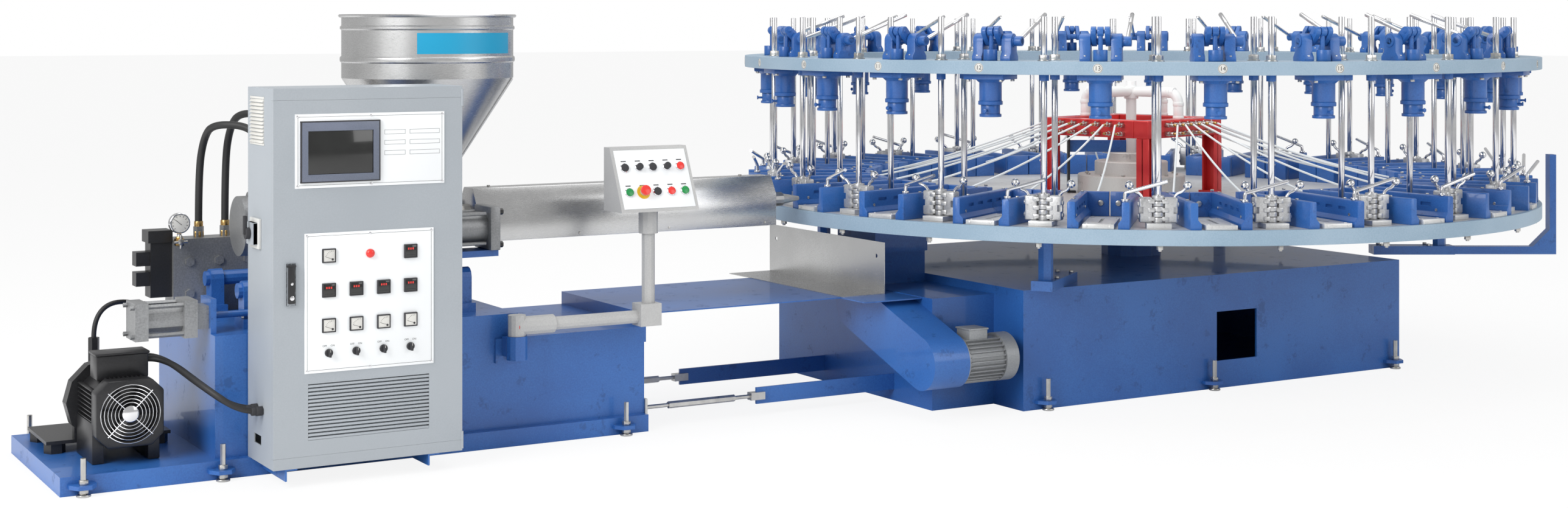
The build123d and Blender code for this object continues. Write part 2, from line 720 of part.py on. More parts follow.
def drive_cover():
    """Belt guard: two round ends joined by straight sides, cut flat under the walkway."""
    (y0, z0), (y1, z1) = COVER_ENDS
    away = Vector(y1 - y0, z1 - z0, 0).normalized()
    across = Vector(-away.Y, away.X, 0) * COVER_R
    low, high = Vector(y0, z0, 0), Vector(y1, z1, 0)
    edges = [
        Line(low + across, high + across), Line(high - across, low - across),
        ThreePointArc(high + across, high + away * COVER_R, high - across),
        ThreePointArc(low - across, low - away * COVER_R, low + across),
    ]
    body = Pos(COVER_X, 0, 0) * extrude(Plane.YZ * make_face(edges), ANNEX_X - COVER_X)
    return [body & block((COVER_X, ANNEX_X), (-1000, 0), (0, DECK_Z - 1))]


def drive_motor():
    """Finned motor of the table drive, flanged to the belt guard."""
    y, z = COVER_ENDS[0]
    x = ANNEX_X
    body = bar((x, y, z), (x + 200, y, z), MOTOR_R - 13)
    for k in range(10):
        if k != 5:
            fin = block((20, 190), (-3, 3), (MOTOR_R - 20, MOTOR_R))
            body += Pos(x, y, z) * Rot(36 * k + 180, 0, 0) * fin
    body += bar((x, y, z), (x + 14, y, z), MOTOR_R)
    body += bar((x + 190, y, z), (x + 258, y, z), MOTOR_R)
    body += block((x + 40, x + 130), (y - 45, y + 45), (z + MOTOR_R - 20, z + MOTOR_R + 30))
    foot = block((x + 30, x + 180), (y + MOTOR_R - 20, ANNEX_Y[0]), (z - 40, z + 40))
    return [body + foot]


def walkway_deck():
    """Floor plate between the bed and the base, with the shelf beside it."""
    plate = block((BED_X[1], ANNEX_X), (-BED_Y, BED_Y), (DECK_Z, DECK_Z + DECK_T))
    shelf = block((TRAY_X[0], ANNEX_X), (SHELF_Y, -BED_Y), (DECK_Z, DECK_Z + DECK_T))
    return [plate + shelf]


def drip_tray():
    """Folded stainless plate that stands across the deck in front of the table."""
    low = DECK_Z + DECK_T
    upright = block((TRAY_X[1], TRAY_X[1] + SHEET), TRAY_Y, (low, TRAY_TOP))
    fold = block((TRAY_X[0], TRAY_X[1]), TRAY_Y, (low, low + SHEET))
    hole = [bar((TRAY_X[1], y, TRAY_TOP - 60), (TRAY_X[1] + SHEET, y, TRAY_TOP - 60), 9, ROUND_SIDES)
            for y in (TRAY_Y[0] + 60, TRAY_Y[1] - 60)]
    return [upright + fold - hole]


def tie_channels():
    """Flat ties, bolted to the annex, that hold bed and base at their distance."""
    return [block((start, ANNEX_X), (y - 5, y + 5), (TIE_Z - 33, TIE_Z + 33)) for start, y in TIES]


def turnbuckles():
    """Threaded tensioners between the bed's end and the ties."""
    pieces = []
    for start, y in TIES:
        left = BED_X[1]
        lug = block((left, left + 10), (y - 40, y + 40), (TIE_Z - 40, TIE_Z + 40))
        rod = bar((left + 10, y, TIE_Z), (start - 30, y, TIE_Z), 8, ROUND_SIDES)
        body = bar((left + 120, y, TIE_Z), (start - 100, y, TIE_Z), 14, BAR_SIDES)
        clevis = block((start - 30, start + 34), (y - 17, y + 17), (TIE_Z - 15, TIE_Z + 15))
        clevis -= block((start, start + 34), (y - 5, y + 5), (TIE_Z - 15, TIE_Z + 15))
        pieces.append(lug + rod + body + clevis)
    return pieces


# Injection bed and unit

def pillow(x, y):
    """Pedestal bearing that holds an end of a guide shaft on the bed."""
    foot = block((x - PILLOW[0] / 2, x + PILLOW[0] / 2), (y - 56, y + 56), (RAIL_H, RAIL_H + 34))
    body = block((x - 24, x + 24), (y - PILLOW[1] / 2, y + PILLOW[1] / 2), (RAIL_H + 34, GUIDE_Z))
    top = bar((x - 24, y, GUIDE_Z), (x + 24, y, GUIDE_Z), PILLOW[1] / 2)
    return foot + body + top - bar((x - 24, y, GUIDE_Z), (x + 24, y, GUIDE_Z), GUIDE_R)


def machine_bed():
    """Welded skid and bed with the slide bearings, guide shafts and cabinet brackets."""
    deck = block((SKID_X, BED_X[0]), (-SKID_Y, SKID_Y), (SKID_H - SKID_T, SKID_H))
    for side in (1, -1):
        y = sorted((side * SKID_Y, side * (SKID_Y - SKID_T)))
        deck += block((SKID_X, BED_X[1]), y, (0, SKID_H))
        inner = sorted((side * BED_Y, side * SKID_Y))
        deck += block((BED_X[0], BED_X[1]), inner, (SKID_H - SKID_T, SKID_H))
    deck += block((SKID_X, SKID_X + SKID_T), (-SKID_Y, SKID_Y), (0, SKID_H))
    bed = block(BED_X, (-BED_Y, BED_Y), (0, BED_H))
    bed += block((BED_X[0], RAIL_X), (-BED_Y, BED_Y), (BED_H, RAIL_H))
    bed += block((BED_X[1], BED_X[1] + 8), (-BED_Y, BED_Y), (BED_H - 60, DECK_Z))
    y = SHIFT_Y
    plate = block((BED_X[0], BED_X[0] + 20), (y - 65, y + 65), (RAIL_H, SHIFT_Z + 65))
    plate -= bar((BED_X[0], y, SHIFT_Z), (BED_X[0] + 20, y, SHIFT_Z), SHIFT_ROD_R + 1)
    body = deck + bed + plate
    for x in BRACKETS_X:
        body += block((x, x + 42), (CAB_Y[0] + 4, -SKID_Y), (CAB_Z[0] - 6, CAB_Z[0]))
        body += block((x, x + 6), (CAB_Y[0] + 4, -SKID_Y), (24, CAB_Z[0]))
    for x in BED_JACKS_X:
        for side in (1, -1):
            body += jack_ear(x, side, SKID_Y)
    pieces = [body]
    for side in (1, -1):
        y = side * GUIDE_Y
        pieces += [pillow(x, y) for x in (GUIDE_X[0] + 40, GUIDE_X[1] - 24)]
        pieces.append(bar((GUIDE_X[0], y, GUIDE_Z), (GUIDE_X[1], y, GUIDE_Z), GUIDE_R))
    return pieces


def carriage():
    """Saddle of the injection unit: bored bosses, cross plate, barrel housing, shift rod."""
    x0, x1 = CARRIAGE_X
    top = GUIDE_Z + 74
    body = block((x0, x1), (-GUIDE_Y - 40, GUIDE_Y + 40), (top - 40, top))
    body += block((-3940, -3760), (-95, 95), (top, BARREL_Z + 95))
    body += block((HOPPER_X - 70, HOPPER_X + 70), (-85, 85), (top, HOPPER_NECK[1]))
    for side in (1, -1):
        y = side * GUIDE_Y
        for start in (x0, x1 - BOSS_L):
            body += bar((start, y, GUIDE_Z), (start + BOSS_L, y, GUIDE_Z), 48)
            body += block((start, start + BOSS_L), (y - 48, y + 48), (GUIDE_Z, top - 40))
        edge = sorted((side * (CYL_Y - 60), side * (CYL_Y + 60)))
        body += block((x1 - 120, CYL_X[1]), edge, (top, BARREL_Z - 30 - CYL_PLATE[1] / 2))
    for side in (1, -1):
        y = side * GUIDE_Y
        body -= bar((x0, y, GUIDE_Z), (x1, y, GUIDE_Z), GUIDE_R + FIT)
    body -= bar((-3940, 0, BARREL_Z), (HOPPER_X + 70, 0, BARREL_Z), BARREL_R)
    body -= bar((HOPPER_X, 0, BARREL_Z), (HOPPER_X, 0, HOPPER_NECK[1]), THROAT_R)
    lug_y = (SHIFT_Y - 28, SHIFT_Y + 28)
    body += block((x0, x0 + 40), lug_y, (SHIFT_Z - 20, GUIDE_Z + 40)) - bar(
        (x0, -GUIDE_Y, GUIDE_Z), (x1, -GUIDE_Y, GUIDE_Z), 40)
    rod = bar((SHIFT_X[1] - 80, SHIFT_Y, SHIFT_Z), (x0, SHIFT_Y, SHIFT_Z), SHIFT_ROD_R)
    return [body, rod]


def barrel():
    """Plasticising barrel with its nozzle, bored for the screw, open under the hopper."""
    x0, x1 = BARREL_X
    body = bar((x0, 0, BARREL_Z), (x1, 0, BARREL_Z), BARREL_R)
    body += bar((x1, 0, BARREL_Z), (x1 + 70, 0, BARREL_Z), 30)
    body += cone((x1 + 70, 0, BARREL_Z), (NOZZLE_TIP, 0, BARREL_Z), 24, 9)
    body -= bar((x0, 0, BARREL_Z), (x1 - 30, 0, BARREL_Z), SCREW_R * 1.06)
    body -= bar((x1 - 30, 0, BARREL_Z), (NOZZLE_TIP, 0, BARREL_Z), 4)
    body -= bar((HOPPER_X, 0, BARREL_Z), (HOPPER_X, 0, BARREL_Z + BARREL_R), THROAT_R - 6)
    return [body]


def screw():
    """Screw inside the barrel: its outside, its pointed tip and its drive end."""
    x0, x1 = BARREL_X
    body = bar((x0, 0, BARREL_Z), (x1 - 110, 0, BARREL_Z), SCREW_R, 0)
    body += cone((x1 - 110, 0, BARREL_Z), (x1 - 50, 0, BARREL_Z), SCREW_R, 5)
    return [body + bar((DRIVE_X[1], 0, BARREL_Z), (x0, 0, BARREL_Z), SCREW_R - 8)]


def barrel_guard():
    """Sheet cover over the barrel's heaters, with a sloped top and holed end plates."""
    low, shoulder, top = GUARD_Z
    half = GUARD_HALF
    outline = [(-half, low), (half, low), (half, shoulder), (half / 2, top), (-half / 2, top),
               (-half, shoulder)]
    inset = [(-half + SHEET, low + SHEET), (half - SHEET, low + SHEET),
             (half - SHEET, shoulder - 1), (half / 2 - 1, top - SHEET),
             (-half / 2 + 1, top - SHEET), (-half + SHEET, shoulder - 1)]
    body = end_profile(outline, GUARD_X)
    body -= end_profile(inset, (GUARD_X[0] + SHEET, GUARD_X[1] - SHEET))
    return [body - bar((GUARD_X[0], 0, BARREL_Z), (GUARD_X[1], 0, BARREL_Z), BARREL_R)]


def injection_cylinders():
    """The pair of cylinders beside the barrel with their square end plates and rods."""
    z, pieces = BARREL_Z - 30, []
    for side in (1, -1):
        y, half = side * CYL_Y, CYL_PLATE[1] / 2
        body = bar((CYL_X[0], y, z), (CYL_X[1], y, z), CYL_R)
        body += block((CYL_X[1] - CYL_PLATE[0], CYL_X[1]), (y - half, y + half), (z - half, z + half))
        body += block((CYL_X[0], CYL_X[0] + 36), (y - 68, y + 68), (z - 68, z + 68))
        body += bar((CYL_X[0] - 90, y, z), (CYL_X[0], y, z), 22)
        pieces.append(body)
        ear = sorted((side * DRIVE_BLOCK, side * (CYL_Y + 40)))
        pieces.append(block((CYL_X[0] - 120, CYL_X[0] - 90), ear, (z - 40, z + 40)))
    return pieces


def hydraulic_motor():
    """Round motor that turns the screw, flanged to the housing, with two hose fittings on top."""
    x0, x1 = DRIVE_X
    body = bar((x0, 0, BARREL_Z), (x0 + 90, 0, BARREL_Z), DRIVE_R - 25)
    body += bar((x0 + 90, 0, BARREL_Z), (x0 + 210, 0, BARREL_Z), DRIVE_R)
    half = DRIVE_BLOCK
    body += block((x0 + 210, x1), (-half, half), (BARREL_Z - half, BARREL_Z + half))
    for x in HOSE_ENDS_X:
        body += bar((x, 0, BARREL_Z), (x, 0, FITTING_TOP), 17, BAR_SIDES)
    return [body]


def hopper():
    """Spun hopper: flanged neck, cone, straight shell with two beads, and a rolled rim."""
    neck, low = HOPPER_NECK
    r, shoulder, top, t, bead = HOPPER_R, HOPPER_SHOULDER, HOPPER_TOP, SHEET, HOPPER_BEAD
    beads = []
    for z in (shoulder + 70, top - 50):
        beads += [(z - 12, z - 4, r, r + bead), (z - 4, z + 4, r + bead, r + bead),
                  (z + 4, z + 12, r + bead, r)]
    outside = turned([
        (low, low + 10, neck + 22, neck + 22), (low + 10, low + 20, neck, neck),
        (low + 20, shoulder, neck, r), (shoulder, top, r, r), *beads,
        (top - 10, top, r + 2 * bead, r + 2 * bead),
    ], HOPPER_SIDES)
    inside = turned([
        (low, low + 20, neck - t, neck - t), (low + 20, shoulder, neck - t, r - t),
        (shoulder, top, r - t, r - t),
    ], HOPPER_SIDES)
    return [Pos(HOPPER_X, 0, 0) * (outside - inside)]


def shift_cylinder():
    """Tie-rod cylinder that moves the saddle, bolted to the plate on the bed's end."""
    x0, x1 = SHIFT_X
    y, z, half = SHIFT_Y, SHIFT_Z, 65
    body = bar((x0, y, z), (x1, y, z), 48)
    for x in (x0, x1 - 45):
        body += block((x, x + 45), (y - half, y + half), (z - half, z + half))
    for sy in (1, -1):
        for sz in (1, -1):
            at = (y + sy * 50, z + sz * 50)
            body += bar((x0 - 14, *at), (x1, *at), 8, ROD_SIDES)
    body += block((x1, BED_X[0]), (y - 40, y + 40), (z - 40, z + 40))
    bore = bar((x0 + 20, y, z), (BED_X[0], y, z), SHIFT_ROD_R + FIT)
    return [body - bore]


# Pump set

def pump_motor():
    """Square finned motor with its fan cowl towards the operator and a terminal box."""
    x, z = PUMP_AXIS
    y0, y1 = PUMP_Y
    half, cut = PUMP_BODY / 2, 40
    profile = [(-half, cut - half), (cut - half, -half), (half - cut, -half), (half, cut - half),
               (half, half - cut), (half - cut, half), (cut - half, half), (-half, half - cut)]
    body = side_profile([(x + u * 0.93, z + v * 0.93) for u, v in profile], (y0 + 60, y1))
    cowl = side_profile([(x + u, z + v) for u, v in profile], (y0, y0 + 75))
    cowl -= bar((x, y0, z), (x, y0 + 50, z), FAN_R + 6)
    body += cowl
    for side in (1, -1):
        for k in range(5):
            at = z + (k - 2) * 32
            fin = sorted((x + side * half * 0.9, x + side * (half + 1)))
            body += block(fin, (y0 + 80, y1 - 12), (at - 4, at + 4))
    body += block((x - 88, x + 88), (y0 + 110, y0 + 210), (z + half * 0.9, z + half + 82))
    body += block((x - half, x - half + 40), (y0 + 60, y1), (SKID_H, z - half * 0.3))
    body += block((x + half - 40, x + half), (y0 + 60, y1), (SKID_H, z - half * 0.3))
    return [body]


def cooling_fan():
    """Cooling fan behind the guard, on the end of the motor's shaft."""
    x, z = PUMP_AXIS
    y = PUMP_Y[0] + 22
    body = bar((x, y - 10, z), (x, PUMP_Y[0] + 50 - SEAT, z), 26, 0)
    for k in range(6):
        blade = Pos(x, y, z) * Rot(0, 60 * k, 0) * Pos(FAN_R / 2 + 10, 0, 0)
        body += blade * Rot(35, 0, 0) * Box(FAN_R - 20, 3, 26)
    return [body]


def fan_guard():
    """Wire guard over the fan: rings on four spokes with a closed middle."""
    x, z = PUMP_AXIS
    y0, y1 = PUMP_Y[0] - 8, PUMP_Y[0]
    body = bar((x, y0 + 4, z), (x, y1, z), 22, ROUND_SIDES)
    for r in GUARD_RINGS:
        ring = bar((x, y0 + 4, z), (x, y1, z), r, 8) - bar((x, y0 + 4, z), (x, y1, z), r - 4, 8)
        body += ring
    for turn in (45, 135):
        body += Pos(x, y0 + 2, z) * Rot(0, turn, 0) * Box(2 * FAN_R + 34, 4.02, 5)
    return [body]


def hydraulic_pump():
    """Bell housing, foot bracket on rubber mounts and the pump behind the motor."""
    x, z = PUMP_AXIS
    y0 = PUMP_Y[1]
    body = bar((x, y0, z), (x, y0 + 60, z), BELL_R)
    body += bar((x, y0 + 60, z), (x, y0 + 170, z), 90)
    body += bar((x, y0 + 170, z), (x, y0 + 330, z), 72)
    body += bar((x, y0 + 250, z), (x, y0 + 250, PUMP_PORT_Z), 20, BAR_SIDES)
    base = block((x - 215, x + 215), (y0 + 8, y0 + 330), (SKID_H + 35, SKID_H + 47))
    web = block((x - 120, x + 120), (y0 + 8, y0 + 40), (SKID_H + 47, z))
    body += base + web
    pieces = [body]
    for sx in (1, -1):
        for y in (y0 + 50, y0 + 288):
            pieces.append(bar((x + sx * 178, y, SKID_H), (x + sx * 178, y, SKID_H + 35), 37, ROUND_SIDES))
    return pieces


def oil_block():
    """Drilled valve block on the bed with its ports and plugs."""
    body = block(OIL_X, OIL_Y, (RAIL_H, OIL_TOP))
    for x in HOSE_STARTS_X:
        body += bar((x, OIL_HOSE_Y, OIL_TOP), (x, OIL_HOSE_Y, OIL_TOP + 40), 20, BAR_SIDES)
    for x in (OIL_X[0] + 60, OIL_X[0] + 170, OIL_X[0] + 280):
        for z in (RAIL_H + 70, RAIL_H + 190):
            body += bar((x, OIL_Y[0] - 10, z), (x, OIL_Y[0], z), 18, BAR_SIDES)
    return [body]


def valve_stack():
    """Stacked valves beside the block with their solenoids."""
    x0, x1 = OIL_X[0] - 90, OIL_X[0]
    y0, y1 = OIL_Y[0] + 20, OIL_Y[1] - 20
    body = block((x0 + 10, x1), (y0, y1), (OIL_TOP - 215, OIL_TOP - 10))
    for z in (OIL_TOP - 70, OIL_TOP - 145):
        body += block((x0 - 40, x0 + 10), (y0 + 10, y1 - 10), (z - 26, z + 26))
    body += block((x0, x1), (y0 - 8, y1 + 8), (OIL_TOP - 10, OIL_TOP + 35))
    return [body]


def pressure_gauge():
    """Round gauge on its stem and shut-off valve."""
    x, y, z = GAUGE
    body = bar((x, y - 14, z), (x, y + 14, z), 38)
    body += bar((x, y, z - 80), (x, y, z), 9, BAR_SIDES)
    body += block((x - 16, x + 16), (y - 16, y + 16), (z - 84, z - 52))
    body += bar((x, y + 16, z - 68), (x, OIL_Y[0], z - 68), 9, BAR_SIDES)
    pin = bar((x, y - 26, z - 68), (x, y - 16, z - 68), 5, 0)
    return [body + pin]


def gauge_valve_handle():
    """Cross handle that turns on the gauge valve's stem."""
    x, y, z = GAUGE
    body = bar((x, y - 30, z - 68), (x, y - 18, z - 68), 12, ROUND_SIDES)
    body += block((x - 28, x + 28), (y - 29, y - 21), (z - 73, z - 63))
    body += block((x - 5, x + 5), (y - 29, y - 21), (z - 96, z - 40))
    return [body - bar((x, y - 26.3, z - 68), (x, y - 16, z - 68), 5 + FIT, 0)]


def pressure_hoses():
    """Two thick hoses that rise from the block and come down on the drive motor's fittings."""
    pieces = []
    for k, (x0, x1) in enumerate(zip(HOSE_STARTS_X, HOSE_ENDS_X)):
        y, rise = OIL_HOSE_Y, HOSE_CREST + 40 * k
        points = [
            (x0, y, OIL_TOP + 40), (x0, y, rise - 190), (x0 + 8, y - 40, rise - 60),
            (x0 + 14, y * 0.55, rise), (x1 - 6, y * 0.2, rise - 10), (x1, 0, rise - 110),
            (x1, 0, FITTING_TOP + SEAT),
        ]
        pieces.append(bent_bar(points, PRESSURE_HOSE_R, ROD_SIDES))
    return pieces


def small_hoses():
    """Thin hose from the pump's port to the block."""
    x, _ = PUMP_AXIS
    y = PUMP_Y[1] + 250
    points = [
        (x, y, PUMP_PORT_Z), (x, y, PUMP_PORT_Z + 70), (x + 70, y + 14, PUMP_PORT_Z + 130),
        (OIL_X[0] - 80, OIL_Y[1] - 50, RAIL_H + 30), (OIL_X[0], OIL_Y[1] - 50, RAIL_H + 30),
    ]
    return [bent_bar(points, SMALL_HOSE_R, ROD_SIDES)]


def cable_conduits():
    """Corrugated conduits from the cabinet's side to the motor's terminal box."""
    x, z = PUMP_AXIS
    pieces = []
    for k, y in enumerate(CONDUITS_Y):
        start = (CAB_X[0], y, CONDUIT_Z)
        end = (x + 88, PUMP_Y[0] + 130 + 60 * k, z + PUMP_BODY / 2 + 50)
        points = [start, (start[0] - 70, y, CONDUIT_Z), (end[0] + 120, y + 40, end[2] - 70),
                  (end[0] + 60, end[1], end[2]), end]
        pieces.append(bent_bar(points, CONDUIT_R, ROD_SIDES))
    return pieces


# Cabinet

def hinge_barrel(low):
    """Half of a door hinge's barrel, on the cabinet's right front corner."""
    x, y = CAB_X[1], CAB_Y[0]
    return bar((x, y, low), (x, y, low + HINGE_L), HINGE_R, 0)


def cabinet_shell():
    """Sheet housing: floor and cap with their front bands, back, and sides, the left vented."""
    t = CAB_WALL
    (x0, x1), (y0, y1), (z0, z1) = CAB_X, CAB_Y, CAB_Z
    door_back = y0 + DOOR_T + DOOR_GAP
    bottom, top = DOOR_Z[0] - DOOR_GAP, DOOR_Z[1] + DOOR_GAP
    pieces = [
        block(CAB_X, CAB_Y, (z0, z0 + t)), block(CAB_X, CAB_Y, (z1 - t, z1)),
        block(CAB_X, (y0, y0 + t), (z0 + t, bottom)) + hinge_barrel(bottom - HINGE_L),
        block(CAB_X, (y0, y0 + t), (top, z1 - t)) + hinge_barrel(top),
        block(CAB_X, (y1 - t, y1), (z0 + t, z1 - t)),
    ]
    for side_x in ((x0, x0 + t), (x1 - t, x1)):
        side = block(side_x, (door_back, y1 - t), (z0 + t, z1 - t))
        side += block(side_x, (y0 + t, door_back), (z0 + t, bottom))
        side += block(side_x, (y0 + t, door_back), (top, z1 - t))
        pieces.append(side)
    left = pieces[-2]
    for k in range(VENTS):
        z = VENT_Z[0] + (VENT_Z[1] - VENT_Z[0]) * (k + 0.5) / VENTS
        left -= block((x0, x0 + t), VENT_Y, (z - 4, z + 4))
    y, z = OVAL
    pieces[-2] = left - block((x0, x0 + t), (y - 40, y + 40), (z - 16, z + 16))
    return pieces


def cabinet_door():
    """Folded sheet door with its edge turned in and a louvred grille."""
    fold, t = DOOR_T, CAB_WALL / 2
    y0, y1 = CAB_Y[0], CAB_Y[0] + fold
    body = block(CAB_X, (y0, y1), DOOR_Z)
    body -= block((CAB_X[0] + t, CAB_X[1] - t), (y0 + t, y1), (DOOR_Z[0] + t, DOOR_Z[1] - t))
    x0, x1, z0, z1 = GRILLE
    body -= block((x0, x1), (y0, y0 + t), (z0, z1))
    for z in (DOOR_Z[0], DOOR_Z[1] - HINGE_L):
        body += hinge_barrel(z)
    pieces = [body]
    pitch = (z1 - z0) / GRILLE_SLATS
    for k in range(GRILLE_SLATS):
        z = z0 + pitch * (k + 0.5)
        slat = [(y0, z - pitch * 0.42), (y0 + 1.5, z - pitch * 0.42), (y0 + 9, z + pitch * 0.3),
                (y0 + 7.5, z + pitch * 0.3)]
        pieces.append(end_profile(slat, (x0, x1)))
    return pieces


def instrument_panel():
    """Panel plates on the door with the screen, controllers, meters and lamps."""
    y = CAB_Y[0]
    pieces = []
    for x0, x1, z0, z1 in (UPPER_PANEL, LOWER_PANEL):
        pieces.append(block((x0, x1), (y - PANEL_T, y), (z0, z1)))
    front = y - PANEL_T
    x0, x1, z0, z1 = SCREEN
    frame = block((x0, x1), (front - 9, front), (z0, z1))
    pieces.append(frame - block((x0 + 16, x1 - 16), (front - 9, front - 3), (z0 + 16, z1 - 16)))
    half = METER / 2
    for row, z in enumerate(METER_ROWS):
        for column, x in enumerate(COLUMNS):
            if row == 0 and column in (1, 2):
                continue
            pieces.append(block((x - half, x + half), (front - 8, front), (z - half, z + half)))
    lamp = (LAMP_X, front, METER_ROWS[0])
    pieces.append(bar(lamp, (LAMP_X, front - 14, METER_ROWS[0]), 15))
    return pieces


def zone_switch(x):
    """Rotary switch knob with its grip bar."""
    front = CAB_Y[0] - PANEL_T
    body = bar((x, front - SEAT, SWITCH_Z), (x, front - 8, SWITCH_Z), KNOB_R, 0)
    body += block((x - 4, x + 4), (front - 22, front - 8), (SWITCH_Z - KNOB_R, SWITCH_Z + KNOB_R))
    return [body]


def door_handle():
    """Swing handle of the door lock, hinged at its top in front of its dish."""
    x0, x1, z0, z1 = LOCK
    y = CAB_Y[0]
    grip = block((x0 + 6, x1 - 6), (y - 14, y - 4 - SEAT), (z0 + 8, z1 - 10))
    return [grip + bar((x0 + 2, y - 9, z1 - 10), (x1 - 2, y - 9, z1 - 10), 4.5, 0)]


def isolator_lever():
    """Lever of the main switch on the cabinet's side."""
    y, z = ISOLATOR
    x = CAB_X[0] - 26
    body = bar((x, y, z), (x - 22, y, z), 22, 0)
    return [body + block((x - 22, x - 8), (y - 9, y + 9), (z, z + 62))]


def isolator_box():
    """Housing of the main switch, fixed to the cabinet's side."""
    y, z = ISOLATOR
    return block((CAB_X[0] - 26 + SEAT, CAB_X[0]), (y - 38, y + 38), (z - 38, z + 38))


def lock_dish():
    x0, x1, z0, z1 = LOCK
    return block((x0, x1), (CAB_Y[0] - 4, CAB_Y[0]), (z0, z1))


# Pendant

def arm_socket():
    """Round socket on the bed's front that the pendant's arm turns in."""
    x, y = SOCKET
    body = bar((x, y, SOCKET_Z[0]), (x, y, SOCKET_Z[1]), SOCKET_R)
    body -= bar((x, y, SOCKET_Z[0] + 12), (x, y, SOCKET_Z[1]), ARM_R + FIT, 0)
    flange_x = (x - 55, x + 55)
    body += block(flange_x, (-BED_Y - 12, -BED_Y), (SOCKET_Z[0] - 20, BED_H))
    neck = block((x - 30, x + 30), (y, -BED_Y - 12), (SOCKET_Z[0] + 8, SOCKET_Z[1] - 8))
    return [body + (neck - bar((x, y, SOCKET_Z[0]), (x, y, SOCKET_Z[1]), SOCKET_R - 4))]


def swing_arm():
    """Arm of the pendant: pivot, elbow with its cap, level tube, elbow and post."""
    x, y = SOCKET
    body = bar((x, y, SOCKET_Z[0] + 12 + SEAT), (x, y, SOCKET_Z[1]), ARM_R, 0)
    body += bar((x, y, SOCKET_Z[1] + SEAT), (x, y, ARM_Z + 42), SOCKET_R - 6)
    body += bar((x, y, SOCKET_Z[1]), (x, y, SOCKET_Z[1] + SEAT), ARM_R)
    body += bar((x, y, ARM_Z), (x + 146, y, ARM_Z), ELBOW_R)
    body += bar((x + 146, y, ARM_Z), (POST_X - 50, y, ARM_Z), ARM_R - 1)
    body += block((POST_X - 50, POST_X + 38), (y - 38, y + 38), (ARM_Z - ELBOW_R, ARM_Z + 50))
    body += bar((POST_X, y, ARM_Z + 50), (POST_X, y, POST_TOP), POST_R)
    return [body + bar((POST_X, y, POST_TOP - 80), (POST_X, y, POST_TOP), 37)]


def pendant_box():
    """Control box with its front leaning back, its push buttons and selectors."""
    y0, (z0, z1) = PENDANT_FRONT, PENDANT_Z
    deep, shallow = PENDANT_DEPTH
    back = y0 + deep
    lean = [(y0, z0), (back, z0), (back, z1), (back - shallow, z1)]
    body = end_profile(lean, PENDANT_X)
    body += bar((POST_X, POST_Y, POST_TOP + SEAT), (POST_X, POST_Y, z0), 37)
    for x, height, length, r in pendant_fittings():
        if (x, height) != E_STOP_AT:
            start, end = on_pendant(x, height, 0), on_pendant(x, height, length)
            body += bar(start, end, r, ROUND_SIDES)
    start, end = on_pendant(*E_STOP_AT, 0), on_pendant(*E_STOP_AT, 12)
    collar = bar(start, end, E_STOP_R - 6)
    return [body + collar - bar(on_pendant(*E_STOP_AT, -12), end, E_STOP_STEM + FIT, 0)]


def pendant_fittings():
    """Place along x, height up the face, length and radius of each button and selector."""
    rows = []
    for k, x in enumerate(BUTTONS_X):
        rows.append((x, BUTTON_ROWS[1], 20 if k in (1, 3) else 9, BUTTON_R - 3 * (k in (1, 3))))
        rows.append((x, BUTTON_ROWS[0], 9, BUTTON_R))
    return rows


def on_pendant(x, height, out):
    """A point at a height up the pendant's leaning face and a distance out from it."""
    deep, shallow = PENDANT_DEPTH
    run, rise = deep - shallow, PENDANT_Z[1] - PENDANT_Z[0]
    slope = hypot(run, rise)
    y = PENDANT_FRONT + run * height / slope - out * rise / slope
    return (x, y, PENDANT_Z[0] + rise * height / slope + out * run / slope)


def emergency_stop():
    """Mushroom head on its stem, which goes into the box when it is struck."""
    stem = bar(on_pendant(*E_STOP_AT, -6), on_pendant(*E_STOP_AT, 18), E_STOP_STEM, 0)
    return [stem + bar(on_pendant(*E_STOP_AT, 18), on_pendant(*E_STOP_AT, 32), E_STOP_R)]


def turned_wall(side):
    return [Rot(0, 0, WORKED_ANGLE) * mould_wall(side)]


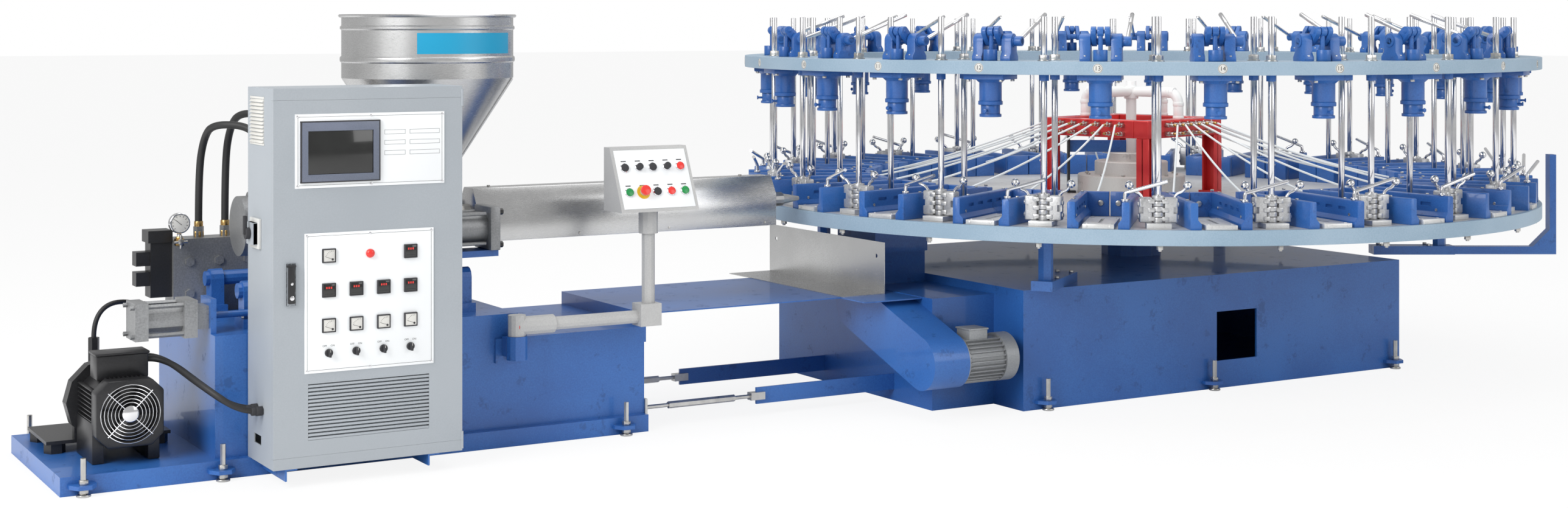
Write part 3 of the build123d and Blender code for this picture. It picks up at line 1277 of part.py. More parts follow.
def main():
    nodes = {
        "machine_bed": machine_bed(),
        "turntable_base": turntable_base(),
        "walkway_deck": walkway_deck(),
        "drip_tray": drip_tray(),
        "leveling_bolts": leveling_bolts(),
        "pump_motor": pump_motor(),
        "fan_guard": fan_guard(),
        "cooling_fan": cooling_fan(),
        "hydraulic_pump": hydraulic_pump(),
        "oil_block": oil_block(),
        "valve_stack": valve_stack(),
        "pressure_gauge": pressure_gauge(),
        "gauge_valve_handle": gauge_valve_handle(),
        "shift_cylinder": shift_cylinder(),
        "pressure_hoses": pressure_hoses(),
        "small_hoses": small_hoses(),
        "cable_conduits": cable_conduits(),
        "drive_cover": drive_cover(),
        "drive_motor": drive_motor(),
        "tie_channels": tie_channels(),
        "turnbuckles": turnbuckles(),
        "ring_support": ring_support() + safety_rail(),
        "cabinet_shell": cabinet_shell() + [isolator_box()],
        "isolator_lever": isolator_lever(),
        "arm_socket": arm_socket(),
        "carriage": carriage(),
        "hydraulic_motor": hydraulic_motor(),
        "injection_cylinders": injection_cylinders(),
        "barrel": barrel(),
        "screw": screw(),
        "barrel_guard": barrel_guard(),
        "hopper": hopper(),
        "cabinet_door": cabinet_door() + [lock_dish()],
        "instrument_panel": instrument_panel(),
        "door_handle": door_handle(),
        "zone_switch_1": zone_switch(COLUMNS[0]),
        "zone_switch_2": zone_switch(COLUMNS[1]),
        "zone_switch_3": zone_switch(COLUMNS[2]),
        "zone_switch_4": zone_switch(COLUMNS[3]),
        "swing_arm": swing_arm(),
        "pendant_box": pendant_box(),
        "emergency_stop": emergency_stop(),
        "lower_table": lower_table(),
        "upper_ring": upper_ring(),
        "tie_bars": tie_bars(),
        "press_frames": press_frames(),
        "press_rams": press_rams(),
        "press_cranks": press_cranks(),
        "mould_walls": mould_walls(),
        "clamp_units": clamp_units(),
        "hub_drum": hub_drum(),
        "manifold_frame": manifold_frame(),
        "water_pipes": water_pipes(),
        "air_hoses": air_hoses(),
        "station_crank": crank(),
        "station_rod": connecting_rod(),
        "station_ram": press_ram(),
        "mould_wall_left": turned_wall(-1),
        "mould_wall_right": turned_wall(1),
        "clamp_lever": clamp_lever(),
    }
    for name, pieces in nodes.items():
        solids = [solid for piece in pieces for solid in piece.solids()]
        export_step(Compound(children=solids), f"parts/{name}.step")


main()
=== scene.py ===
"""Rotary moulding machine with 24 stations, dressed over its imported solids. Sizes are in mm."""
import logging
import math
from dataclasses import dataclass
from enum import Enum
from typing import Optional, Sequence, Union

import bpy
from mathutils import Matrix, Vector


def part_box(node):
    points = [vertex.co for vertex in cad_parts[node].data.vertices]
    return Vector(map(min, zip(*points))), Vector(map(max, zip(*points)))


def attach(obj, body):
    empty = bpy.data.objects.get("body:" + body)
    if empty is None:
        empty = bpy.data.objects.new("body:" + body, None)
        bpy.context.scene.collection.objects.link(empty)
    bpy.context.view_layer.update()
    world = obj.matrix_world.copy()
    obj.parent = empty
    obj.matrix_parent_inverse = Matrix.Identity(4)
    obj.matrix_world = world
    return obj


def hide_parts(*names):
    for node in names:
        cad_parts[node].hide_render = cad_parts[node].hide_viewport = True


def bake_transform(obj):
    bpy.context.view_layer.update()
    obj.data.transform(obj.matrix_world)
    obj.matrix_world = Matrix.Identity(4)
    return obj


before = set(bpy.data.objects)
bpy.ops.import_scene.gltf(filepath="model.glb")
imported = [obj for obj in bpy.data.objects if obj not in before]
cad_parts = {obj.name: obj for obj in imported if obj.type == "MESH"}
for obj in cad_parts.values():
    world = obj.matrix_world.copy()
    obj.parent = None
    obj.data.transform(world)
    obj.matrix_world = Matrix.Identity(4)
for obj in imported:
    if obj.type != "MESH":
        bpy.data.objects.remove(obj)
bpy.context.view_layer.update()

MM = 0.001
STATIONS = 24
PITCH = 360 / STATIONS
PHASE = 0.66
WORKED = 3
WORKED_TURN = 180 + WORKED * PITCH + PHASE
TABLE_TOP = 778
RING_BOTTOM, RING_TOP = 1373, 1425
CIRCLE = 1700                 # rams, outer bars and clamps are this far from the axis
RAM_BORE = 38.8
CABINET_SIDE = -4312
WORD_DEPTH = 0.4
DIAGONAL = 0.7071             # sine and cosine of the crank's resting angle
Piece = bpy.types.Object
Point = Sequence[float]
Span = Sequence[float]
log = logging.getLogger("moulding_machine")


# Shader sums

class Value:
    """A shader socket that takes part in sums."""

    def __init__(self, graph: "Graph", socket: bpy.types.NodeSocket) -> None:
        """Keep the socket and the graph it belongs to."""
        self.graph, self.socket = graph, socket

    def _sum(self, kind: str, left: "Number", right: "Number") -> "Value":
        """One Math node on two values."""
        return self.graph.node("ShaderNodeMath", {"operation": kind}, {0: left, 1: right})

    def __add__(self, other: "Number") -> "Value":
        """Sum."""
        return self._sum("ADD", self, other)

    def __sub__(self, other: "Number") -> "Value":
        """Difference."""
        return self._sum("SUBTRACT", self, other)

    def __mul__(self, other: "Number") -> "Value":
        """Product."""
        return self._sum("MULTIPLY", self, other)

    __radd__ = __add__


Number = Union[float, Value]


class Graph:
    """The node tree of one finish."""

    def __init__(self, name: str) -> None:
        """Start a material that holds only its shader and output.

        Args:
            name: the finish's name.
        """
        self.material = bpy.data.materials.new(name)
        self.material.use_nodes = True
        self.tree = self.material.node_tree
        self.shader = self.tree.nodes["Principled BSDF"]

    def node(self, kind: str, settings: Optional[dict] = None, inputs: Optional[dict] = None,
             out: Union[int, str] = 0) -> Value:
        """Any node of the tree.

        Args:
            kind: the node's type.
            settings: its properties.
            inputs: values or links by socket.
            out: the socket handed back.

        Returns:
            The chosen output as a value.
        """
        made = self.tree.nodes.new(kind)
        for key, value in (settings or {}).items():
            setattr(made, key, value)
        for key, value in (inputs or {}).items():
            self.feed(made.inputs[key], value)
        return Value(self, made.outputs[out])

    def feed(self, socket: bpy.types.NodeSocket, value: object) -> None:
        """Link or set one socket.

        Args:
            socket: the input.
            value: a Value to link, or a plain number or colour.
        """
        if isinstance(value, Value):
            self.tree.links.new(value.socket, socket)
        else:
            socket.default_value = value

    def noise(self, scale: float, detail: float = 3, stretch: Point = (1, 1, 1)) -> Value:
        """Noise on Object coordinates.

        Args:
            scale: waves in a metre.
            detail: octaves.
            stretch: scale along each axis.

        Returns:
            The noise, about 0.3 to 0.7.
        """
        place = self.node("ShaderNodeTexCoord", out="Object")
        if tuple(stretch) != (1, 1, 1):
            place = self.node("ShaderNodeMapping", inputs={"Vector": place, "Scale": stretch})
        return self.node("ShaderNodeTexNoise", inputs={
            "Vector": place, "Scale": scale, "Detail": detail})

    def ramp(self, value: Value, low: float, high: float) -> Value:
        """A mask that rises from 0 at low to 1 at high."""
        return self.node("ShaderNodeMapRange", {"interpolation_type": "SMOOTHSTEP"},
                         {"Value": value, "From Min": low, "From Max": high})

    def mix(self, mask: Number, first: object, second: object) -> Value:
        """A colour between two others."""
        return self.node("ShaderNodeMix", {"data_type": "RGBA"},
                         {0: mask, 6: first, 7: second}, out=2)

    def bump(self, height: Value, strength: float, distance: float) -> Value:
        """A normal from a height in metres."""
        return self.node("ShaderNodeBump", inputs={
            "Height": height, "Strength": strength, "Distance": distance})


class Grain(Enum):
    """How a surface was made."""

    SPRAYED = "sprayed"
    BRUSHED = "brushed"
    CAST = "cast"
    POLISHED = "polished"
    MILLED = "milled"
    MOULDED = "moulded"


@dataclass(frozen=True)
class Finish:
    """One finish: two tones of its colour, its gloss, its grain and its wear."""

    name: str
    slot: str
    tone: Point
    shade: Point
    metallic: float = 0.0
    roughness: float = 0.4
    spread: float = 0.1
    grain: Grain = Grain.SPRAYED
    bump: float = 0.12
    coat: float = 0.0
    worn: Optional[Point] = None
    clear: float = 0.0

    def make(self) -> bpy.types.Material:
        """Build the material.

        Returns:
            The finished material.
        """
        known = bpy.data.materials.get(self.name)
        if known:
            return known
        graph = Graph(self.name)
        shader = graph.shader.inputs
        broad = graph.noise(2.3, 4)
        fine, height = self._grain(graph)
        colour = graph.mix(graph.ramp(broad * 0.6 + fine * 0.4, 0.36, 0.64),
                           (*self.shade, 1), (*self.tone, 1))
        rough = self.roughness + (fine - 0.5) * self.spread + (broad - 0.5) * self.spread
        if self.worn:
            scuff = graph.ramp(graph.noise(14, 8) * 0.7 + graph.noise(90, 4) * 0.3, 0.58, 0.66)
            colour = graph.mix(scuff * 0.45, colour, (*self.worn, 1))
            rough = rough + scuff * 0.12
        graph.feed(shader["Base Color"], colour)
        graph.feed(shader["Roughness"], rough)
        graph.feed(shader["Normal"], graph.bump(height, self.bump, 0.001))
        graph.feed(shader["Metallic"], self.metallic)
        graph.feed(shader["Coat Weight"], self.coat)
        graph.feed(shader["Transmission Weight"], self.clear)
        return graph.material

    def _grain(self, graph: Graph) -> tuple[Value, Value]:
        """The fine variation and the height of the surface.

        Args:
            graph: the material's tree.

        Returns:
            A fine value for tone and gloss, and the height for the bump.
        """
        if self.grain is Grain.BRUSHED:
            fine = graph.noise(60, 5, (1, 1, 22))
            return fine, fine
        if self.grain is Grain.MILLED:
            fine = graph.noise(40, 5, (1, 9, 9))
            return fine, fine + graph.noise(700, 2) * 0.4
        if self.grain is Grain.CAST:
            fine = graph.noise(160, 6)
            pits = graph.node("ShaderNodeTexVoronoi", {"feature": "SMOOTH_F1"}, {
                "Vector": graph.node("ShaderNodeTexCoord", out="Object"), "Scale": 260.0})
            return fine, fine * 0.6 + pits * 0.6
        if self.grain is Grain.POLISHED:
            fine = graph.noise(25, 3)
            return fine, graph.noise(900, 2)
        if self.grain is Grain.MOULDED:
            fine = graph.noise(420, 3)
            return fine, fine
        fine = graph.noise(190, 4)
        return fine, fine + graph.noise(30, 2) * 0.8


BLUE = Finish("machine_blue", "blue_paint", (0.030, 0.140, 0.440), (0.020, 0.100, 0.350),
              roughness=0.38, coat=0.25, bump=0.22, worn=(0.012, 0.05, 0.17))
RIM_GREY = Finish("rim_grey_blue", "table_grey", (0.330, 0.440, 0.540), (0.260, 0.370, 0.470),
                  roughness=0.42, bump=0.08)
TABLE_STEEL = Finish("table_face", "table_grey", (0.70, 0.70, 0.69), (0.50, 0.50, 0.50),
                     metallic=0.35, roughness=0.45, grain=Grain.MILLED, worn=(0.30, 0.29, 0.28))
PLATE_STEEL = Finish("ground_plate", "bright_steel", (0.74, 0.74, 0.73), (0.60, 0.60, 0.60),
                     metallic=0.5, roughness=0.38, grain=Grain.MILLED, worn=(0.42, 0.41, 0.40))
STEEL = Finish("zinc_steel", "bright_steel", (0.62, 0.61, 0.58), (0.46, 0.45, 0.43),
               metallic=0.95, roughness=0.3, grain=Grain.POLISHED, bump=0.05)
CHROME = Finish("chrome_plate", "chrome", (0.80, 0.80, 0.81), (0.68, 0.68, 0.70),
                metallic=1.0, roughness=0.14, spread=0.06, grain=Grain.POLISHED, bump=0.02)
CLAMP_CAST = Finish("clamp_casting", "cast_grey", (0.66, 0.66, 0.66), (0.46, 0.46, 0.46),
                    metallic=0.7, roughness=0.36, grain=Grain.CAST, worn=(0.22, 0.22, 0.22))
CAST = Finish("grey_casting", "cast_grey", (0.34, 0.345, 0.35), (0.22, 0.225, 0.23),
              metallic=0.55, roughness=0.42, grain=Grain.CAST, bump=0.25)
STAINLESS = Finish("stainless_sheet", "stainless", (0.62, 0.62, 0.62), (0.48, 0.48, 0.48),
                   metallic=0.95, roughness=0.27, grain=Grain.BRUSHED, bump=0.05)
CABINET = Finish("cabinet_grey", "cabinet_paint", (0.370, 0.400, 0.430), (0.340, 0.370, 0.40),
                 roughness=0.45, bump=0.10)
PANEL = Finish("panel_white", "panel_white", (0.76, 0.79, 0.86), (0.70, 0.74, 0.82),
               roughness=0.3, grain=Grain.MOULDED, bump=0.03)
OFF_WHITE = Finish("off_white", "panel_white", (0.70, 0.69, 0.65), (0.62, 0.61, 0.58),
                   roughness=0.4, grain=Grain.MOULDED, bump=0.05)
ARM_GREY = Finish("arm_grey", "cabinet_paint", (0.50, 0.50, 0.49), (0.42, 0.42, 0.42),
                  roughness=0.42, bump=0.10)
BLACK = Finish("black_enamel", "black_metal", (0.018, 0.018, 0.020), (0.010, 0.010, 0.011),
               roughness=0.36, grain=Grain.CAST, bump=0.12)
BLACK_PLASTIC = Finish("black_plastic", "black_plastic", (0.014, 0.014, 0.015),
                       (0.008, 0.008, 0.009), roughness=0.42, grain=Grain.MOULDED)
GLASS = Finish("dark_screen", "black_plastic", (0.010, 0.011, 0.010), (0.006, 0.006, 0.006),
               roughness=0.12, coat=0.5, grain=Grain.POLISHED, bump=0.01)
BEZEL = Finish("screen_frame", "black_plastic", (0.16, 0.18, 0.24), (0.12, 0.14, 0.19),
               roughness=0.34, grain=Grain.MOULDED)
RED = Finish("red_paint", "red_paint", (0.560, 0.010, 0.012), (0.430, 0.007, 0.009),
             roughness=0.34, coat=0.2, worn=(0.20, 0.006, 0.006))
RED_PLASTIC = Finish("red_plastic", "red_plastic", (0.62, 0.012, 0.014), (0.50, 0.010, 0.012),
                     roughness=0.25, grain=Grain.MOULDED, bump=0.02, coat=0.3)
GREEN = Finish("green_button", "red_plastic", (0.012, 0.30, 0.07), (0.010, 0.24, 0.06),
               roughness=0.28, grain=Grain.MOULDED, bump=0.02)
WHITE_PIPE = Finish("white_pipe", "white_pipe", (0.82, 0.82, 0.80), (0.74, 0.74, 0.72),
                    roughness=0.35, grain=Grain.MOULDED, bump=0.04)
HOSE_CLEAR = Finish("clear_hose", "clear_hose", (0.86, 0.87, 0.87), (0.78, 0.79, 0.80),
                    roughness=0.22, grain=Grain.MOULDED, bump=0.02, coat=0.3, clear=0.35)
RUBBER = Finish("hose_rubber", "rubber", (0.020, 0.020, 0.021), (0.012, 0.012, 0.012),
                roughness=0.55, grain=Grain.MOULDED, bump=0.15)
BRASS = Finish("brass_fitting", "chrome", (0.70, 0.47, 0.20), (0.52, 0.34, 0.13),
               metallic=1.0, roughness=0.27, grain=Grain.POLISHED, bump=0.04)
ALUMINIUM = Finish("motor_grey", "aluminium", (0.36, 0.37, 0.38), (0.28, 0.29, 0.30),
                   metallic=0.4, roughness=0.45, grain=Grain.CAST, bump=0.2)
HUB_WHITE = Finish("hub_casting", "white_pipe", (0.66, 0.65, 0.62), (0.54, 0.53, 0.51),
                   metallic=0.2, roughness=0.42, grain=Grain.MILLED, worn=(0.34, 0.33, 0.31))
CYAN = Finish("label_cyan", "panel_white", (0.010, 0.330, 0.560), (0.010, 0.300, 0.520),
              roughness=0.3, grain=Grain.MOULDED, bump=0.01)
INK = Finish("printed_ink", "black_plastic", (0.02, 0.02, 0.022), (0.03, 0.03, 0.03),
             roughness=0.5, grain=Grain.MOULDED, bump=0.01)
SIDE_WHITE = Finish("switch_white", "panel_white", (0.66, 0.66, 0.64), (0.60, 0.60, 0.58),
                    roughness=0.38, grain=Grain.MOULDED, bump=0.03)
YELLOW = Finish("signal_yellow", "panel_white", (0.80, 0.52, 0.02), (0.7, 0.44, 0.02),
                grain=Grain.MOULDED)


# Workbench

class Bench:
    """Modelling by operators, on one selected piece at a time."""

    @staticmethod
    def take(*pieces: Piece) -> None:
        """Select these pieces alone, the last one active."""
        bpy.ops.object.select_all(action="DESELECT")
        for piece in pieces:
            piece.select_set(True)
        bpy.context.view_layer.objects.active = pieces[-1]

    @classmethod
    def settle(cls, piece: Piece) -> Piece:
        """Move the piece's place, turn and scale into its mesh."""
        cls.take(piece)
        bpy.ops.object.transform_apply(location=True, rotation=True, scale=True)
        return piece

    @classmethod
    def modify(cls, piece: Piece, kind: str, **settings: object) -> Piece:
        """Add a modifier and apply it.

        Args:
            piece: the piece.
            kind: the modifier's type.
            settings: its properties.

        Returns:
            The piece.
        """
        modifier = piece.modifiers.new(kind.title(), kind)
        for key, value in settings.items():
            setattr(modifier, key, value)
        cls.take(piece)
        bpy.ops.object.modifier_apply(modifier=modifier.name)
        return piece

    @classmethod
    def edge(cls, piece: Piece, width: float, segments: int = 2) -> Piece:
        """Round the piece's sharp edges."""
        if width <= 0:
            return piece
        return cls.modify(piece, "BEVEL", width=width * MM, segments=segments,
                          limit_method="ANGLE", angle_limit=math.radians(40),
                          harden_normals=False)

    @classmethod
    def block(cls, x: Span, y: Span, z: Span, edge: float = 1.5,
              segments: int = 2) -> Piece:
        """A box with softened edges.

        Args:
            x: its two ends along X.
            y: its two ends along Y.
            z: its two ends along Z.
            edge: the edges' radius.
            segments: facets of a rounded edge.

        Returns:
            The piece.
        """
        bpy.ops.object.select_all(action="DESELECT")
        middle = [(a + b) / 2 * MM for a, b in (x, y, z)]
        bpy.ops.mesh.primitive_cube_add(size=1, location=middle)
        piece = bpy.context.object
        piece.scale = [abs(b - a) * MM for a, b in (x, y, z)]
        return cls.edge(cls.settle(piece), edge, segments)

    @classmethod
    def bar(cls, start: Point, end: Point, radius: float, sides: int = 24,
            edge: float = 0.8) -> Piece:
        """A turned bar between two points.

        Args:
            start: its first end.
            end: its other end.
            radius: its radius.
            sides: facets around it.
            edge: radius of its end edges.

        Returns:
            The piece.
        """
        bpy.ops.object.select_all(action="DESELECT")
        a, b = Vector(start) * MM, Vector(end) * MM
        turn = (b - a).to_track_quat("Z", "Y").to_euler()
        bpy.ops.mesh.primitive_cone_add(
            vertices=sides, radius1=radius * MM, radius2=radius * MM,
            depth=(b - a).length, location=(a + b) / 2, rotation=turn)
        return cls.edge(cls.settle(bpy.context.object), edge, 2)

    @classmethod
    def turned(cls, steps: Sequence[Point], sides: int = 48, origin: Point = (0, 0, 0),
               axis: Point = (0, 0, 1), loop: bool = False) -> Piece:
        """A lathe-turned piece.

        Args:
            steps: heights along the axis and radii, in order.
            sides: facets around it.
            origin: the axis's foot.
            axis: its direction.
            loop: whether the last step joins the first, as in a ring.

        Returns:
            The piece.
        """
        bpy.ops.object.select_all(action="DESELECT")
        z, r = steps[0]
        bpy.ops.mesh.primitive_circle_add(vertices=sides, radius=r * MM, location=(0, 0, z * MM))
        piece = cls.settle(bpy.context.object)
        bpy.ops.object.mode_set(mode="EDIT")
        bpy.ops.mesh.select_all(action="SELECT")
        if not loop:
            bpy.ops.mesh.edge_face_add()
            bpy.ops.mesh.select_mode(type="EDGE")
            bpy.ops.mesh.select_all(action="SELECT")
        for height, radius in steps[1:]:
            bpy.ops.mesh.extrude_edges_move(
                TRANSFORM_OT_translate={"value": (0, 0, (height - z) * MM)})
            bpy.ops.transform.resize(value=(radius / r, radius / r, 1),
                                     center_override=(0, 0, height * MM))
            z, r = height, radius
        if loop:
            bpy.ops.mesh.select_all(action="SELECT")
            bpy.ops.mesh.select_mode(type="VERT")
            bpy.ops.mesh.select_all(action="DESELECT")
            bpy.ops.object.mode_set(mode="OBJECT")
            vertices = piece.data.vertices
            for ring in (range(sides), range(len(vertices) - sides, len(vertices))):
                for index in ring:
                    vertices[index].select = True
            bpy.ops.object.mode_set(mode="EDIT")
            bpy.ops.mesh.select_mode(type="EDGE")
            bpy.ops.mesh.bridge_edge_loops()
        else:
            bpy.ops.mesh.edge_face_add()
        bpy.ops.mesh.select_all(action="SELECT")
        bpy.ops.mesh.normals_make_consistent(inside=False)
        bpy.ops.mesh.select_mode(type="VERT")
        bpy.ops.object.mode_set(mode="OBJECT")
        piece.rotation_euler = Vector(axis).to_track_quat("Z", "Y").to_euler()
        piece.location = Vector(origin) * MM
        return cls.settle(piece)

    @classmethod
    def prism(cls, outline: Sequence[Point], lay: Matrix, depth: float,
              edge: float = 1.0) -> Piece:
        """An outline drawn on a plane and pushed out along its normal.

        Args:
            outline: its corners on the plane.
            lay: the plane's place, whose Z is the way out.
            depth: how far it is pushed.
            edge: the edges' radius.

        Returns:
            The piece.
        """
        bpy.ops.object.select_all(action="DESELECT")
        bpy.ops.mesh.primitive_circle_add(vertices=len(outline), radius=1, fill_type="NGON")
        piece = bpy.context.object
        for vertex, (u, v) in zip(piece.data.vertices, outline):
            vertex.co = lay @ Vector((u * MM, v * MM, 0))
        bpy.ops.object.mode_set(mode="EDIT")
        bpy.ops.mesh.select_all(action="SELECT")
        push = lay.to_3x3() @ Vector((0, 0, depth * MM))
        bpy.ops.mesh.duplicate()
        bpy.ops.mesh.select_all(action="SELECT")
        bpy.ops.mesh.delete(type="ONLY_FACE")
        bpy.ops.object.mode_set(mode="OBJECT")
        half = len(outline)
        for index in range(half, 2 * half):
            piece.data.vertices[index].co += push
        bpy.ops.object.mode_set(mode="EDIT")
        bpy.ops.mesh.select_mode(type="EDGE")
        bpy.ops.mesh.select_all(action="SELECT")
        bpy.ops.mesh.bridge_edge_loops()
        bpy.ops.mesh.select_all(action="SELECT")
        bpy.ops.mesh.fill_holes(sides=0)
        bpy.ops.mesh.normals_make_consistent(inside=False)
        bpy.ops.mesh.select_mode(type="VERT")
        bpy.ops.object.mode_set(mode="OBJECT")
        return cls.edge(piece, edge)

    @classmethod
    def ball(cls, centre: Point, radius: float, sides: int = 20) -> Piece:
        """A ball."""
        bpy.ops.object.select_all(action="DESELECT")
        bpy.ops.mesh.primitive_uv_sphere_add(
            segments=sides, ring_count=sides // 2, radius=radius * MM,
            location=Vector(centre) * MM)
        return cls.settle(bpy.context.object)

    @classmethod
    def wire(cls, points: Sequence[Point], radius: float, smooth: bool = True,
             facets: int = 3, keep_curve: bool = False) -> Piece:
        """A bent rod, or a hose, along a line of control points.

        Args:
            points: the line's control points.
            radius: the rod's radius.
            smooth: whether it bends in one smooth curve.
            facets: how finely its round section is cut.
            keep_curve: whether it stays a curve.

        Returns:
            The piece.
        """
        curve = bpy.data.curves.new("line", "CURVE")
        curve.dimensions, curve.bevel_depth = "3D", radius * MM
        curve.bevel_resolution, curve.use_fill_caps = facets, True
        curve.resolution_u = 10
        spline = curve.splines.new("NURBS" if smooth else "POLY")
        spline.points.add(len(points) - 1)
        for knot, point in zip(spline.points, points):
            knot.co = (*(Vector(point) * MM), 1)
        if smooth:
            spline.order_u = 3
            spline.use_endpoint_u = True
        piece = bpy.data.objects.new("line", curve)
        bpy.context.scene.collection.objects.link(piece)
        if not keep_curve:
            cls.take(piece)
            bpy.ops.object.convert(target="MESH")
            piece = bpy.context.object
        return piece

    @classmethod
    def cut(cls, piece: Piece, *tools: Piece) -> Piece:
        """Take the tools' shapes out of a piece.

        Args:
            piece: the piece.
            tools: what is cut away; they are used up.

        Returns:
            The piece.
        """
        tool = cls.join("cutter", tools)
        cls.modify(piece, "BOOLEAN", object=tool, operation="DIFFERENCE", solver="EXACT")
        bpy.data.objects.remove(tool)
        return piece

    @classmethod
    def join(cls, name: str, parts: Sequence[Piece]) -> Piece:
        """Several pieces made one.

        Args:
            name: the new piece's name.
            parts: the pieces.

        Returns:
            The joined piece.
        """
        cls.take(*parts)
        if len(parts) > 1:
            bpy.ops.object.join()
        piece = bpy.context.object
        piece.name = piece.data.name = name
        return piece

    @staticmethod
    def copy(piece: Piece, move: Matrix) -> Piece:
        """A copy with its own mesh, moved by a matrix in metres."""
        twin = bpy.data.objects.new(piece.name, piece.data.copy())
        twin.data.transform(move)
        bpy.context.scene.collection.objects.link(twin)
        return twin

    @classmethod
    def around(cls, piece: Piece, turns: Sequence[float]) -> Piece:
        """One piece made of a copy at each angle about the table's axis.

        Args:
            piece: the piece as it stands at angle 0; it is used up.
            turns: the angles in degrees.

        Returns:
            The joined copies.
        """
        name = piece.name
        twins = [cls.copy(piece, Matrix.Rotation(math.radians(turn), 4, "Z")) for turn in turns]
        bpy.data.objects.remove(piece)
        return cls.join(name, twins)

    @classmethod
    def word(cls, text: str, size: float, lay: Matrix) -> Piece:
        """Raised figures or a plain word.

        Args:
            text: what it says.
            size: height of the type.
            lay: the plane it lies on, whose Z is the way out.

        Returns:
            The piece.
        """
        bpy.ops.object.select_all(action="DESELECT")
        bpy.ops.object.text_add()
        piece = bpy.context.object
        piece.data.body, piece.data.size = text, size * MM
        piece.data.extrude = WORD_DEPTH * MM / 2
        piece.data.align_x = piece.data.align_y = "CENTER"
        piece.data.resolution_u = 3
        bpy.ops.object.convert(target="MESH")
        piece = bpy.context.object
        piece.data.transform(lay)
        return piece


def dress(piece: Piece, finish: Finish, body: str, replaces: Sequence[str] = (),
          smooth: float = 35) -> None:
    """Give a piece its finish, body and the nodes it stands for.

    Args:
        piece: the piece, settled.
        finish: its finish.
        body: the body that it moves with.
        replaces: the nodes it hides.
        smooth: angle in degrees under which edges look round.
    """
    piece.data.materials.clear()
    piece.data.materials.append(finish.make())
    if piece.type == "MESH":
        Bench.take(piece)
        bpy.ops.object.shade_smooth_by_angle(angle=math.radians(smooth))
    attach(piece, body)
    if replaces:
        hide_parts(*replaces)
    log.info("%s rides on %s", piece.name, body)


def turns(skip_worked: bool = False) -> list[float]:
    """Angle of each station."""
    return [180 + k * PITCH + PHASE for k in range(STATIONS) if not (skip_worked and k == WORKED)]


def between() -> list[float]:
    """Angle half-way from each station to the next."""
    return [a + PITCH / 2 for a in turns()]


def ringed(name: str, parts: Sequence[Piece], at: Sequence[float], finish: Finish,
           nodes: Sequence[str] = ()) -> None:
    """A piece copied to each angle round the table, joined, that turns with it.

    Args:
        name: the joined piece's name.
        parts: what one piece is made of, as it stands at angle 0.
        at: the angles in degrees.
        finish: its finish.
        nodes: the nodes it hides.
    """
    dress(Bench.around(Bench.join(name, parts), at), finish, "turntable", nodes)


def stations(names: tuple[str, str], parts: Sequence[Piece], finish: Finish,
             body: str, still: Sequence[str] = (), moved: Sequence[str] = ()) -> None:
    """A piece at every station: the still ones as one, the worked one on its own body.

    Args:
        names: the still pieces' name and the worked piece's.
        parts: what one piece is made of, as it stands at angle 0.
        finish: its finish.
        body: the worked piece's body.
        still: the nodes that the still pieces hide.
        moved: the nodes that the worked piece hides.
    """
    piece = Bench.join(names[0], parts)
    worked = Bench.copy(piece, Matrix.Identity(4))
    worked.name = names[1]
    dress(Bench.around(piece, turns(True)), finish, "turntable", still)
    dress(Bench.around(worked, [WORKED_TURN]), finish, body, moved)


def facing(at: Point, out: Point) -> Matrix:
    """A plane at a point, with its Z the way out and its Y upwards.

    Args:
        at: the plane's origin.
        out: the way it faces.

    Returns:
        Its matrix, in metres.
    """
    z = Vector(out).normalized()
    x = Vector((0, 0, 1)).cross(z).normalized()
    y = z.cross(x)
    matrix = Matrix((x, y, z)).transposed().to_4x4()
    matrix.translation = Vector(at) * MM
    return matrix


# Turntable

